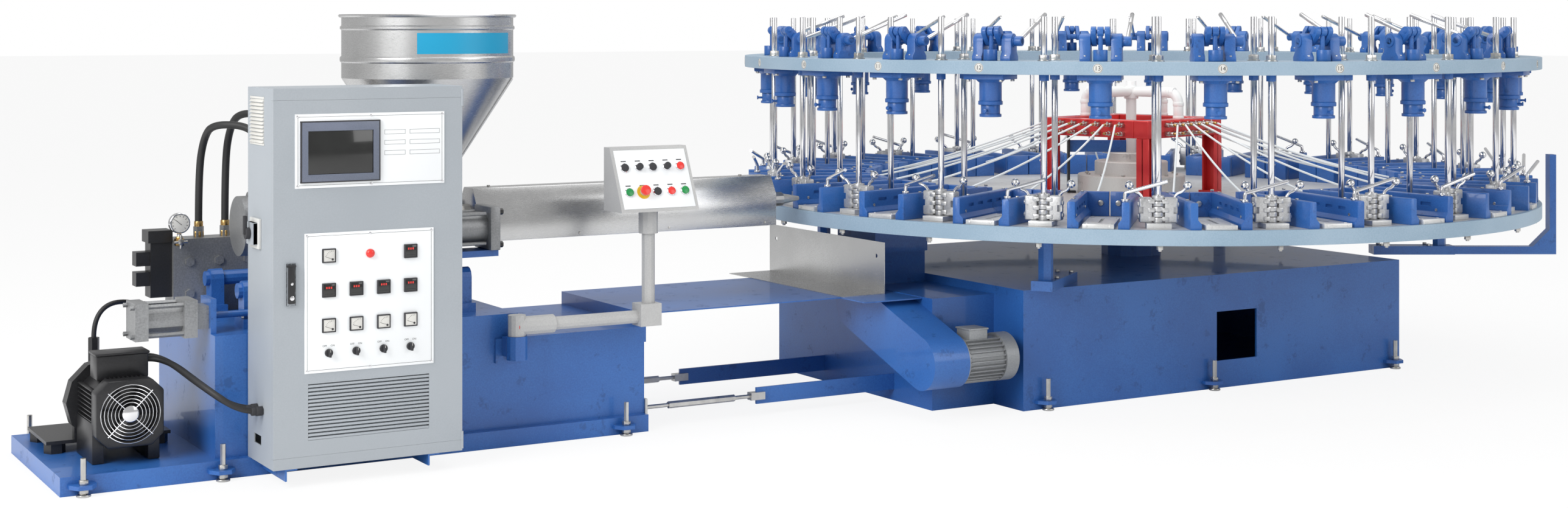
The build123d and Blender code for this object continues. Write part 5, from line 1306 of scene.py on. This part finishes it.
@dataclass
class Cabinet:
    """Control cabinet with its panels, instruments, louvres and lock."""

    front: float = -680
    face: float = -683
    upper: tuple[float, float, float, float] = (-4238, -3702, 1013, 1265)
    lower: tuple[float, float, float, float] = (-4205, -3742, 383, 859)
    screen: tuple[float, float, float, float] = (-4221, -3940, 1031, 1241)
    columns: tuple[float, ...] = (-4121, -4024, -3926, -3828)
    rows: tuple[float, ...] = (781, 663, 543)
    switches: float = 449

    def build(self) -> None:
        """Make what is fixed to the cabinet."""
        self.plates()
        self.meters()
        self.knobs()
        self.trim()

    def _lay(self, x: float, z: float) -> Matrix:
        """A plane on the panel's face."""
        return facing((x, self.face, z), (0, -1, 0))

    def plates(self) -> None:
        """Panel plates with corner screws, printed border and the screen."""
        plates, screws, lines = [], [], []
        for x0, x1, z0, z1 in (self.upper, self.lower):
            plates.append(Bench.block((x0, x1), (self.face, self.front), (z0, z1), 0.8))
            inset = 9
            for a, b, c, d in ((x0 + inset, x1 - inset, z0 + inset, z0 + inset + 1),
                               (x0 + inset, x1 - inset, z1 - inset - 1, z1 - inset),
                               (x0 + inset, x0 + inset + 1, z0 + inset, z1 - inset),
                               (x1 - inset - 1, x1 - inset, z0 + inset, z1 - inset)):
                lines.append(Bench.block((a, b), (self.face - 0.3, self.face), (c, d), 0))
            for x in (x0 + 8, (x0 + x1) / 2, x1 - 8):
                for z in (z0 + 8, z1 - 8):
                    screws.append(Bench.bar((x, self.face, z), (x, self.face - 2.2, z), 4.5, 16,
                                            1))
        dress(Bench.join("panel_plates", plates), PANEL, "door", ["instrument_panel"])
        dress(Bench.join("panel_screws", screws), CHROME, "door")
        for k in range(3):
            z = 1190 - 36 * k
            lines += self._frame((-3922, -3846, z, z + 15), 0.8)
            lines += self._frame((-3830, -3720, z, z + 15), 0.8)
        dress(Bench.join("panel_lines", lines), INK, "door")
        x0, x1, z0, z1 = self.screen
        y = self.face
        frame_piece = Bench.block((x0, x1), (y - 9, y), (z0, z1), 3)
        frame_piece = Bench.cut(frame_piece, Bench.block(
            (x0 + 26, x1 - 24), (y - 20, y - 5), (z0 + 28, z1 - 34), 0))
        dress(Bench.join("screen_bezel", [frame_piece]), BEZEL, "door")
        rim = Bench.join("screen_rim", self._frame((x0, x1, z0, z1), 4, 9.6))
        dress(rim, BLACK_PLASTIC, "door")
        glass = Bench.block((x0 + 25, x1 - 23), (y - 5.5, y - 2), (z0 + 27, z1 - 33), 0.5)
        dress(Bench.join("screen_glass", [glass]), GLASS, "door")

    def _frame(self, edges: Point, width: float, out: float = 0.3) -> list[Piece]:
        """Four thin strips round a rectangle on the panel."""
        x0, x1, z0, z1 = edges
        y = (self.face - out, self.face)
        return [Bench.block((x0, x1), y, (z0, z0 + width), 0),
                Bench.block((x0, x1), y, (z1 - width, z1), 0),
                Bench.block((x0, x0 + width), y, (z0 + width, z1 - width), 0),
                Bench.block((x1 - width, x1), y, (z0 + width, z1 - width), 0)]

    def meters(self) -> None:
        """Moving-coil meters and temperature controllers."""
        cases, dials, marks, windows, lights = [], [], [], [], []
        y = self.face
        for row, z in enumerate(self.rows):
            for column, x in enumerate(self.columns):
                if row == 0 and column in (1, 2):
                    continue
                cases.append(Bench.cut(
                    Bench.block((x - 24, x + 24), (y - 8, y), (z - 24, z + 24), 1.5),
                    Bench.block((x - 20, x + 20), (y - 20, y - 6.4), (z - 20, z + 20), 0)))
                if row == 1 or column == 3 and row == 0:
                    windows.append(Bench.block((x - 20, x + 20), (y - 7, y - 6), (z - 20, z + 20),
                                               0.3))
                    for k in range(3):
                        lights.append(Bench.block((x - 11 + 8 * k, x - 6 + 8 * k),
                                                  (y - 7.3, y - 6.9), (z + 5, z + 12), 0.2))
                    marks.append(Bench.block((x - 16, x + 16), (y - 7.4, y - 6.9),
                                             (z - 15, z - 12), 0))
                else:
                    dials.append(Bench.block((x - 20, x + 20), (y - 7, y - 6), (z - 20, z + 20),
                                             0.3))
                    for k in range(7):
                        t = math.radians(20 + 12 * k)
                        a = (x + 12 - 24 * math.cos(t), y - 7, z - 11 + 24 * math.sin(t))
                        b = (x + 12 - 28 * math.cos(t), y - 7, z - 11 + 28 * math.sin(t))
                        marks.append(Bench.bar(a, b, 0.5, 6, 0))
                    marks.append(Bench.bar((x + 12, y - 7.2, z - 12), (x - 12, y - 7.2, z - 4),
                                           0.5, 6, 0))
                    marks.append(Bench.bar((x + 12, y - 7, z - 13), (x + 12, y - 7.6, z - 13), 4,
                                           16, 0.3))
        dress(Bench.join("meter_cases", cases), BLACK_PLASTIC, "door")
        dress(Bench.join("meter_dials", dials), OFF_WHITE, "door")
        dress(Bench.join("controller_windows", windows), GLASS, "door")
        dress(Bench.join("controller_digits", lights), RED_PLASTIC, "door")
        dress(Bench.join("meter_marks", marks), INK, "door")
        x, z = -3974, self.rows[0]
        lamp = Bench.turned([(0, 15), (6, 15), (9, 13), (13, 9), (14, 4)], 32, (x, y, z),
                            (0, -1, 0))
        dress(Bench.join("alarm_lamp", [lamp]), RED_PLASTIC, "door")
        words = []
        for at in self.columns:
            words.append(Bench.word("OFF", 9, self._lay(at - 14, self.switches + 24)))
            words.append(Bench.word("ON", 9, self._lay(at + 14, self.switches + 24)))
        dress(Bench.join("switch_words", words), INK, "door")

    def knobs(self) -> None:
        """Rotary switches with grips, skirts and pointers."""
        for k, x in enumerate(self.columns):
            y, z = self.face, self.switches
            knob = [Bench.turned([(0.4, 14), (5, 14), (8, 12.6)], 32, (x, y, z), (0, -1, 0)),
                    Bench.block((x - 4, x + 4), (y - 21.8, y - 6), (z - 13.6, z + 13.6), 1.6)]
            dress(Bench.join(f"switch_knob_{k + 1}", knob), BLACK_PLASTIC, f"switch_{k + 1}",
                  [f"zone_switch_{k + 1}"])
            line = Bench.block((x - 0.6, x + 0.6), (y - 22, y - 21.6), (z + 4, z + 13), 0)
            dress(Bench.join(f"switch_line_{k + 1}", [line]), OFF_WHITE, f"switch_{k + 1}")

    def trim(self) -> None:
        """Door louvres, side louvre, lock, main switch."""
        slats = [Bench.block((-4192, -3758), (-680, -671), (156 + k * 12.73 + 1,
                                                            156 + k * 12.73 + 9), 1.2)
                 for k in range(15)]
        dress(Bench.join("door_louvres", slats), CABINET, "door")
        fins = []
        for k in range(12):
            z = 1163 + 12.67 * (k + 0.5)
            fins.append(Bench.prism([(-8, z - 5), (0, z - 6), (0, z + 5)], Matrix(
                ((1, 0, 0, CABINET_SIDE * MM), (0, 0, 1, -575 * MM), (0, 1, 0, 0), (0, 0, 0, 1))),
                148, 0.4))
        fins.append(Bench.block((-4315, CABINET_SIDE), (-580, -422), (1156, 1163), 1))
        fins.append(Bench.block((-4315, CABINET_SIDE), (-580, -422), (1315, 1322), 1))
        dress(Bench.join("side_louvre", fins), OFF_WHITE, "base")
        x0, x1, z0, z1 = -4271, -4234, 615, 763
        dish = Bench.cut(Bench.block((x0, x1), (-684, -680), (z0, z1), 1.5),
                         Bench.block((x0 + 5, x1 - 5), (-690, -682), (z0 + 6, z1 - 6), 0))
        dress(Bench.join("lock_dish", [dish]), BLACK, "door")
        grip = [Bench.block((x0 + 7, x1 - 7), (-694, -684.4), (z0 + 10, z1 - 12), 3, 3),
                Bench.bar((x0 + 3, -689, z1 - 10), (x1 - 3, -689, z1 - 10), 4.4, 20, 0.6)]
        dress(Bench.join("lock_grip", grip), BLACK, "lock_handle", ["door_handle"])
        lock = [Bench.bar((-4252, -694, z0 + 30), (-4252, -697, z0 + 30), 8, 24, 1),
                Bench.bar((-4252, -694, z0 + 78), (-4252, -696, z0 + 78), 5, 20, 1)]
        dress(Bench.join("lock_barrel", lock), CHROME, "lock_handle")
        plate = Bench.block((-4337, CABINET_SIDE), (-531, -455), (814, 890), 2)
        plate = [plate, Bench.block((-4322, CABINET_SIDE), (-545, -441), (800, 904), 2)]
        dress(Bench.join("main_switch_plate", plate), SIDE_WHITE, "base")
        lever = [Bench.bar((-4338, -493, 852), (-4354, -493, 852), 20, 28, 2),
                 Bench.block((-4360, -4347), (-500, -486), (848, 913), 3)]
        dress(Bench.join("main_switch_lever", lever), BLACK_PLASTIC, "isolator",
              ["isolator_lever"])


@dataclass
class Injection:
    """Injection unit: hopper, guard, cylinders, motor and its fittings."""

    hopper_x: float = -3500
    barrel_z: float = 830

    def build(self) -> None:
        """Make the unit's pieces."""
        self.hopper()
        self.drive()
        self.guard()
        self.cylinders()

    def hopper(self) -> None:
        """Spun hopper with two beads, a rolled rim and a bare label."""
        r, t = 326, 2.5
        out = [(935, 84), (943, 84), (945, 62), (957, 62), (1366, r), (1424, r), (1429, r + 5),
               (1437, r + 6), (1445, r + 5), (1450, r), (1548, r), (1553, r + 5), (1561, r + 5),
               (1566, r), (1595, r), (1597, r + 8), (1603, r + 12), (1608, r + 8), (1608, r - t),
               (1366, r - t), (957, 59), (935, 59)]
        shell = Bench.turned(out, 128, (self.hopper_x, 0, 0), loop=True)
        dress(Bench.join("hopper_shell", [shell]), STAINLESS, "injection_unit", ["hopper"], 28)
        seam = [Bench.bar((self.hopper_x + 64 * c, 64 * s, 960),
                          (self.hopper_x + (r + 1) * c, (r + 1) * s, 1362), 4, 12, 0)
                for c, s in ((math.cos(a), math.sin(a)) for a in map(math.radians, (-34, 146)))]
        dress(Bench.join("hopper_seams", seam), STAINLESS, "injection_unit")
        columns, rows = 40, 2
        bpy.ops.object.select_all(action="DESELECT")
        bpy.ops.mesh.primitive_grid_add(x_subdivisions=columns, y_subdivisions=rows, size=1)
        label = bpy.context.object
        for vertex in label.data.vertices:
            turn = math.radians(-118 + 74 * (vertex.co.x + 0.5))
            reach = (r + 1) * MM
            vertex.co = Vector((self.hopper_x * MM + reach * math.cos(turn),
                                reach * math.sin(turn), (1499 + 78 * vertex.co.y) * MM))
        dress(Bench.join("hopper_label", [label]), CYAN, "injection_unit")

    def drive(self) -> None:
        """Hydraulic motor, rounded and bolted, with brass fittings on top."""
        z = self.barrel_z
        body = [Bench.turned([(-4240, 92), (-4236, 110), (-4160, 110), (-4150, 120),
                              (-4148, 133), (-4142, 135), (-4034, 135), (-4030, 131)], 64,
                             (0, 0, z), (1, 0, 0)),
                Bench.block((-4030, -3940), (-100, 100), (z - 100, z + 100), 10, 3)]
        for k in range(5):
            t = math.radians(72 * k + 18)
            y, h = 92 * math.cos(t), z + 92 * math.sin(t)
            body.append(Bench.bar((-4200, y, h), (-4145, y, h), 34, 32, 6))
            body.append(Bench.bar((-4206, y, h), (-4200, y, h), 20, 20, 2))
        dress(Bench.join("screw_motor", body), CAST, "injection_unit", ["hydraulic_motor"])
        bolts = [Bench.bar((-4046, 118 * math.cos(t), z + 118 * math.sin(t)),
                           (-4030, 118 * math.cos(t), z + 118 * math.sin(t)), 8, 6, 1)
                 for t in (math.radians(45 * k) for k in range(8))]
        dress(Bench.join("screw_motor_bolts", bolts), STEEL, "injection_unit")
        fittings = []
        for x in (-4150, -4090):
            fittings += [Bench.bar((x, 0, z + 90), (x, 0, 966), 15, 24, 1),
                         Bench.bar((x, 0, 940), (x, 0, 962), 21, 6, 2),
                         Bench.bar((x, 0, 966), (x, 0, 999), 17, 24, 2),
                         Bench.bar((x, 0, 978), (x, 0, 990), 19, 24, 1)]
        dress(Bench.join("motor_fittings", fittings), BRASS, "injection_unit")

    def guard(self) -> None:
        """Folded stainless cover over the barrel, with its screws."""
        lay = Matrix(((0, 0, 1, -3335 * MM), (1, 0, 0, 0), (0, 1, 0, 0), (0, 0, 0, 1)))
        section = [(-90, 731), (90, 731), (90, 861), (45, 935), (-45, 935), (-90, 861)]
        cover = Bench.prism(section, lay, 1340, 2.5)
        dress(Bench.join("barrel_cover", [cover]), STAINLESS, "injection_unit",
              ["barrel_guard"])
        bolts = [Bench.bar((x, 0, 934), (x, 0, 942), 7, 6, 1) for x in (-3250, -2700, -2120)]
        bolts += [Bench.bar((x, -90, 745), (x, -93, 745), 5, 16, 1)
                  for x in (-3300, -2900, -2500, -2050)]
        dress(Bench.join("cover_screws", bolts), STEEL, "injection_unit")

    def cylinders(self) -> None:
        """Injection cylinders with square end plates and tie nuts."""
        parts, nuts, rods = [], [], []
        z = 800
        for side in (1, -1):
            y = side * 205
            parts += [Bench.bar((-3864, y, z), (-3360, y, z), 60, 48, 1),
                      Bench.block((-3360, -3320), (y - 82, y + 82), (z - 82, z + 82), 4),
                      Bench.block((-3900, -3864), (y - 68, y + 68), (z - 68, z + 68), 4),
                      Bench.block((-4020, -3990), sorted((side * 100, side * 245)),
                                  (z - 40, z + 40), 3)]
            rods.append(Bench.bar((-3990, y, z), (-3900, y, z), 22, 32, 1))
            for dy in (-62, 62):
                for dz in (-62, 62):
                    nuts.append(Bench.bar((-3320, y + dy, z + dz), (-3304, y + dy, z + dz), 13,
                                          6, 2))
                    parts.append(Bench.bar((-3370, y + dy * 0.9, z + dz * 0.9),
                                           (-3600, y + dy * 0.9, z + dz * 0.9), 7, 12, 0))
        dress(Bench.join("cylinder_bodies", parts), CAST, "injection_unit",
              ["injection_cylinders"])
        dress(Bench.join("cylinder_nuts", nuts), BLACK, "injection_unit")
        dress(Bench.join("cylinder_rods", rods), CHROME, "injection_unit")


@dataclass
class PumpSet:
    """Pump motor, fan guard and pressure gauge."""

    x: float = -4700
    z: float = 240
    y: tuple[float, float] = (-330, -30)

    def build(self) -> None:
        """Make the pump set's pieces."""
        self.motor()
        self.fan()
        self.gauge()

    def motor(self) -> None:
        """Ribbed body, fan cowl, feet and terminal box, as one piece."""
        x, z, (y0, y1) = self.x, self.z, self.y
        lay = Matrix(((1, 0, 0, x * MM), (0, 0, 1, 0), (0, 1, 0, z * MM), (0, 0, 0, 1)))

        def octagon(half: float, cut: float) -> list[Point]:
            """Corners of a square with cut corners."""
            c = half - cut
            return [(-half, -c), (-c, -half), (c, -half), (half, -c), (half, c), (c, half),
                    (-c, half), (-half, c)]

        cowl = lay.copy()
        cowl.translation = Vector((x * MM, y0 * MM, z * MM))
        parts = [Bench.cut(Bench.prism(octagon(114, 40), cowl, 75, 5),
                           Bench.bar((x, y0 - 10, z), (x, y0 + 50, z), 96, 64, 0))]
        core = lay.copy()
        core.translation = Vector((x * MM, (y0 + 60) * MM, z * MM))
        parts.append(Bench.prism(octagon(100, 36), core, y1 - y0 - 60, 3))
        for k in range(11):
            for side in (1, -1):
                at = z - 75 + 15 * k
                fin = sorted((x + side * 96, x + side * 113))
                parts.append(Bench.block(fin, (y0 + 80, y1 - 12), (at - 2, at + 2), 1))
        for k in range(9):
            at = x - 60 + 15 * k
            parts.append(Bench.block((at - 2, at + 2), (y0 + 80, y1 - 12), (z + 96, z + 112), 1))
        parts.append(Bench.block((x - 88, x + 88), (y0 + 110, y0 + 210), (z + 103, z + 186), 5))
        parts.append(Bench.block((x - 92, x + 92), (y0 + 106, y0 + 214), (z + 186, z + 195), 3))
        for a in (x - 114, x + 74):
            parts.append(Bench.block((a, a + 40), (y0 + 60, y1), (66, z - 34), 3))
        dress(Bench.join("pump_motor_body", parts), BLACK, "base", ["pump_motor"])

    def fan(self) -> None:
        """Chromed wire guard over the fan."""
        x, z, y = self.x, self.z, self.y[0]
        wires = []
        for r in (100, 88, 76, 64, 52, 40):
            t = [math.radians(10 * k) for k in range(37)]
            ring = [(x + r * math.cos(a), y - 5, z + r * math.sin(a)) for a in t]
            wires.append(Bench.wire(ring, 1.6, smooth=False, facets=2))
        for k in range(4):
            a = math.radians(45 + 90 * k)
            wires.append(Bench.bar((x + 24 * math.cos(a), y - 3, z + 24 * math.sin(a)),
                                   (x + 106 * math.cos(a), y - 3, z + 106 * math.sin(a)), 2, 12,
                                   0))
        wires.append(Bench.turned([(0, 28), (2, 28), (4, 25)], 32, (x, y - 3, z), (0, -1, 0)))
        dress(Bench.join("fan_wires", wires), CHROME, "base", ["fan_guard"])

    def gauge(self) -> None:
        """Pressure gauge with its dial, stem and cross handle."""
        x, y, z = -4390, 225, 830
        case = [Bench.turned([(-14, 34), (-12, 38), (12, 38), (14, 36), (14, 33), (11, 33)], 48,
                             (x, y, z), (0, -1, 0)),
                Bench.bar((x, y, z - 36), (x, y, z - 52), 8, 20, 1)]
        dress(Bench.join("gauge_case", case), CHROME, "base", ["pressure_gauge"])
        brass = [Bench.bar((x, y, z - 50), (x, y, z - 64), 14, 6, 2),
                 Bench.block((x - 15, x + 15), (y - 15, y + 15), (z - 84, z - 56), 3),
                 Bench.bar((x, y + 14, z - 68), (x, 268, z - 68), 9, 20, 1),
                 Bench.bar((x, y - 26, z - 68), (x, y - 14, z - 68), 4.9, 20, 0.5)]
        dress(Bench.join("gauge_valve_body", brass), BRASS, "base")
        face = Bench.bar((x, y - 10, z), (x, y - 12.5, z), 33.5, 48, 0.2)
        dress(Bench.join("gauge_dial", [face]), OFF_WHITE, "base")
        marks = []
        for k in range(11):
            t = math.radians(225 - 27 * k)
            marks.append(Bench.bar((x + 24 * math.cos(t), y - 12.8, z + 24 * math.sin(t)),
                                   (x + 30 * math.cos(t), y - 12.8, z + 30 * math.sin(t)), 0.7,
                                   6, 0))
        marks.append(Bench.bar((x + 6, y - 13, z - 6), (x - 18, y - 13, z + 14), 0.9, 8, 0))
        dress(Bench.join("gauge_marks", marks), INK, "base")
        cross = [Bench.bar((x, y - 30, z - 68), (x, y - 18, z - 68), 12, 24, 2)]
        for dx, dz in ((28, 0), (-28, 0), (0, 28), (0, -28)):
            cross.append(Bench.bar((x, y - 25, z - 68), (x + dx * 0.9, y - 25, z - 68 + dz * 0.9),
                                   5, 16, 2))
        dress(Bench.join("cross_handle", cross), STEEL, "gauge_handle", ["gauge_valve_handle"])


@dataclass
class Pendant:
    """Pendant box with its panel, push buttons and selectors."""

    front: float = -540
    z: tuple[float, float] = (858, 1100)
    depth: tuple[float, float] = (157, 47)
    columns: tuple[float, ...] = (-2890, -2830, -2771, -2711, -2652)
    rows: tuple[float, float] = (80, 180)

    def on_face(self, x: float, height: float, out: float) -> Vector:
        """A point at a height up the leaning face and a distance out from it, in mm."""
        run, rise = self.depth[0] - self.depth[1], self.z[1] - self.z[0]
        slope = math.hypot(run, rise)
        return Vector((x, self.front + run * height / slope - out * rise / slope,
                       self.z[0] + rise * height / slope + out * run / slope))

    def build(self) -> None:
        """Make what is on the pendant's face, and the cap at the arm's elbow."""
        run, rise = self.depth[0] - self.depth[1], self.z[1] - self.z[0]
        slope = math.hypot(run, rise)
        way = Vector((0, -rise, run)).normalized()
        lay = facing(self.on_face(-2771, slope / 2, 0), way)
        half, tall = 152, slope / 2 - 14
        plate = Bench.prism([(-half, -tall), (half, -tall), (half, tall), (-half, tall)], lay,
                            1.6, 0.4)
        dress(Bench.join("pendant_plate", [plate]), PANEL, "pendant")
        colours = {(0, 0): GREEN, (2, 0): BLACK_PLASTIC, (3, 0): RED_PLASTIC,
                   (4, 0): GREEN, (0, 1): BLACK_PLASTIC, (2, 1): BLACK_PLASTIC,
                   (4, 1): RED_PLASTIC, (1, 1): BLACK_PLASTIC, (3, 1): BLACK_PLASTIC}
        groups: dict[Finish, list[Piece]] = {}
        collars = []
        for (column, row), finish in colours.items():
            x, height = self.columns[column], self.rows[row]
            selector = row == 1 and column in (1, 3)
            r = 13 if selector else 15.6
            foot = self.on_face(x, height, 1)
            collars.append(Bench.turned([(0, r + 3), (4, r + 3), (6, r + 1)], 28, foot, way))
            tall = 19 if selector else 8.5
            groups.setdefault(finish, []).append(
                Bench.turned([(4, r), (tall, r), (tall + 1, r - 2)], 28, foot, way))
        for finish, parts in groups.items():
            dress(Bench.join(f"pendant_{finish.name}", parts), finish, "pendant")
        dress(Bench.join("button_collars", collars), CHROME, "pendant")
        marks = [self._mark(x, height, way) for x in self.columns for height in self.rows]
        dress(Bench.join("button_marks", marks), INK, "pendant")
        foot = self.on_face(-2830, 80, 0)
        head = Bench.turned([(18.3, 13), (18.3, 19), (24, 20.4), (30, 19), (32.4, 12)], 40, foot,
                            way)
        dress(Bench.join("stop_head", [head]), RED_PLASTIC, "stop_button", ["emergency_stop"])
        ring = Bench.turned([(0.5, 27), (2.2, 27)], 40, foot, way)
        dress(Bench.join("stop_ring", [ring]), YELLOW, "pendant")
        x, y = -3330, -460
        cap = [Bench.bar((x - 4, y, 453), (x - 1, y, 453), 33, 40, 1)]
        dress(Bench.join("elbow_cap", cap), RED_PLASTIC, "arm")

    def _mark(self, x: float, height: float, way: Vector) -> Piece:
        """Short printed bar over a button, in a printed word's place."""
        lay = facing(self.on_face(x, height + 27, 1.6), way)
        return Bench.prism([(-11, -2), (11, -2), (11, 2), (-11, 2)], lay, 0.2, 0)


@dataclass
class Fasteners:
    """Bolt heads and nuts along the bed and the base, and the drive's motor."""

    ears: tuple[float, ...] = (-1165, -265, 830)
    skid: tuple[float, ...] = (-4880, -4415, -2871)

    def build(self) -> None:
        """Make the bolts by what carries them, then the motor."""
        parts = []
        for side in (1, -1):
            for xs, y in ((self.ears, 858), (self.skid, 445)):
                for x in xs:
                    parts += [Bench.bar((x, side * y, 40), (x, side * y, 56), 17, 6, 2),
                              Bench.bar((x, side * y, 10), (x, side * y, 26), 17, 6, 2),
                              Bench.bar((x, side * y, 0), (x, side * y, 8), 24, 28, 2)]
        for y in (-186, 186, -234, 234):
            for x in (-4260, -3444):
                parts.append(Bench.bar((x - 24, y, 524), (x - 24, y, 534), 8, 6, 1))
        for x in (-1560, -1440, -1320):
            for y in (-110, 110):
                parts.append(Bench.bar((x, y, 706), (x, y, 716), 11, 6, 1.5))
        for turn in (-31, 31, 144, 216):
            a = math.radians(turn)
            for dr, dt in ((1390, 30), (1390, -30), (1170, 30), (1170, -30)):
                x = dr * math.cos(a) - dt * math.sin(a)
                y = dr * math.sin(a) + dt * math.cos(a)
                parts.append(Bench.bar((x, y, 530), (x, y, 540), 10, 6, 1.5))
        dress(Bench.join("frame_bolts", parts), STEEL, "base")
        y, z = -787, 227
        motor = [Bench.turned([(0, 97), (12, 97), (14, 84), (188, 84), (190, 97), (250, 97),
                               (258, 88)], 48, (-1580, y, z), (1, 0, 0))]
        for k in range(30):
            t = math.radians(12 * k)
            if 60 < 12 * k < 120:
                continue
            fin = Bench.block((-1564, -1394), (-2, 2), (82, 96), 0.8)
            fin.data.transform(Matrix.Translation((0, y * MM, z * MM))
                               @ Matrix.Rotation(t - math.pi / 2, 4, "X"))
            motor.append(fin)
        motor += [Bench.block((-1540, -1450), (y - 45, y + 45), (z + 74, z + 126), 5),
                  Bench.block((-1543, -1447), (y - 48, y + 48), (z + 120, z + 127), 2),
                  Bench.block((-1550, -1400), (y + 77, -630), (z - 40, z + 40), 3)]
        dress(Bench.join("drive_motor_body", motor), ALUMINIUM, "base", ["drive_motor"])


NODE_FINISHES: dict[str, Finish] = {
    "machine_bed": BLUE, "turntable_base": BLUE, "walkway_deck": BLUE, "drip_tray": STAINLESS,
    "leveling_bolts": STEEL, "pump_motor": BLACK, "fan_guard": CHROME, "cooling_fan": BLACK,
    "hydraulic_pump": BLACK, "oil_block": CAST, "valve_stack": BLACK, "pressure_gauge": CHROME,
    "gauge_valve_handle": STEEL, "shift_cylinder": CAST, "pressure_hoses": RUBBER,
    "small_hoses": RUBBER, "cable_conduits": RUBBER, "drive_cover": BLUE,
    "drive_motor": ALUMINIUM, "tie_channels": BLUE, "turnbuckles": STEEL, "ring_support": BLUE,
    "cabinet_shell": CABINET, "isolator_lever": BLACK_PLASTIC, "arm_socket": BLUE,
    "carriage": BLUE, "hydraulic_motor": CAST, "injection_cylinders": CAST, "barrel": STEEL,
    "screw": STEEL, "barrel_guard": STAINLESS, "hopper": STAINLESS, "cabinet_door": CABINET,
    "instrument_panel": PANEL, "door_handle": BLACK, "zone_switch_1": BLACK_PLASTIC,
    "zone_switch_2": BLACK_PLASTIC, "zone_switch_3": BLACK_PLASTIC,
    "zone_switch_4": BLACK_PLASTIC, "swing_arm": ARM_GREY, "pendant_box": ARM_GREY,
    "emergency_stop": RED_PLASTIC, "lower_table": TABLE_STEEL, "upper_ring": RIM_GREY,
    "tie_bars": CHROME, "press_frames": BLUE, "press_rams": BLUE, "press_cranks": BLUE,
    "mould_walls": BLUE, "clamp_units": CLAMP_CAST, "hub_drum": HUB_WHITE,
    "manifold_frame": RED, "water_pipes": WHITE_PIPE, "air_hoses": HOSE_CLEAR,
    "station_crank": BLUE, "station_rod": BLUE, "station_ram": BLUE, "mould_wall_left": BLUE,
    "mould_wall_right": BLUE, "clamp_lever": CHROME,
}


@dataclass
class Studio:
    """Camera, floor, lamps and world."""

    eye: Point = (-6.42, -7.56, 1.57)
    turn: float = -30.85
    lens: float = 3412 / 2576 * 36
    rise: float = -377.5 / 2576

    def build(self) -> None:
        """Set the camera, the floor and the light."""
        bpy.ops.object.camera_add(location=self.eye, rotation=(
            math.radians(90), 0, math.radians(self.turn)))
        camera = bpy.context.object
        camera.data.lens, camera.data.sensor_width = self.lens, 36
        camera.data.shift_y = self.rise
        camera.data.clip_end = 200
        bpy.context.scene.camera = camera
        bpy.context.scene.view_settings.view_transform = "Standard"
        self.floor()
        self.lamp("key", (-10, -3, 5), (-2.5, -0.3, 0.6), 5, 560)
        self.lamp("fill", (3.5, -8.5, 5), (-0.5, 0, 0.8), 6, 250)
        self.lamp("top", (-1, 1, 7), (-1, 0, 0), 7, 250)
        world = bpy.data.worlds.new("studio")
        bpy.context.scene.world = world
        world.use_nodes = True
        tree = world.node_tree
        path = tree.nodes.new("ShaderNodeLightPath")
        seen = tree.nodes.new("ShaderNodeMath")
        seen.operation = "MAXIMUM"
        tree.links.new(path.outputs["Is Camera Ray"], seen.inputs[0])
        tree.links.new(path.outputs["Is Transmission Ray"], seen.inputs[1])
        near = tree.nodes.new("ShaderNodeMath")
        near.operation = "MULTIPLY_ADD"
        tree.links.new(seen.outputs[0], near.inputs[0])
        near.inputs[1].default_value = 0.45
        near.inputs[2].default_value = 0.55
        background = tree.nodes["Background"]
        background.inputs["Color"].default_value = (1, 1, 1, 1)
        tree.links.new(near.outputs[0], background.inputs["Strength"])

    @staticmethod
    def floor() -> None:
        """Plain pale floor that keeps the shadow."""
        bpy.ops.object.select_all(action="DESELECT")
        bpy.ops.mesh.primitive_plane_add(size=160, location=(0, 20, 0))
        floor = bpy.context.object
        floor.name = "studio_floor"
        graph = Graph("floor_white")
        graph.feed(graph.shader.inputs["Base Color"], (0.94, 0.94, 0.94, 1))
        graph.feed(graph.shader.inputs["Roughness"], 0.9)
        seen = graph.node("ShaderNodeLightPath", out="Is Camera Ray")
        white = graph.node("ShaderNodeEmission", inputs={"Color": (1, 1, 1, 1)})
        mixed = graph.node("ShaderNodeMixShader", inputs={
            0: seen * 0.88, 1: Value(graph, graph.shader.outputs[0]), 2: white})
        graph.feed(graph.tree.nodes["Material Output"].inputs["Surface"], mixed)
        floor.data.materials.append(graph.material)

    @staticmethod
    def lamp(name: str, place: Point, aim: Point, size: float, power: float) -> None:
        """A soft lamp.

        Args:
            name: its name.
            place: where it stands.
            aim: what it lights.
            size: its width.
            power: its power in watts.
        """
        bpy.ops.object.light_add(type="AREA", location=place)
        lamp = bpy.context.object
        lamp.name = name
        lamp.data.size, lamp.data.energy = size, power
        lamp.rotation_euler = (Vector(aim) - Vector(place)).to_track_quat("-Z", "Y").to_euler()


def finish_nodes() -> None:
    """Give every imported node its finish."""
    for name, finish in NODE_FINISHES.items():
        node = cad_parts[name]
        node.data.materials.clear()
        node.data.materials.append(finish.make())


def main() -> None:
    """Build the scene in order."""
    logging.basicConfig(level=logging.INFO)
    Studio().build()
    Hub().build()
    finish_nodes()
    for assembly in (Hoses(), Turntable(), Press(), MouldBay(), Clamp(), Cabinet(),
                     Injection(), PumpSet(), Pendant(), Fasteners()):
        assembly.build()
        log.info("%s is built", type(assembly).__name__)
    bpy.context.view_layer.update()


if __name__ == "__main__":
    main()
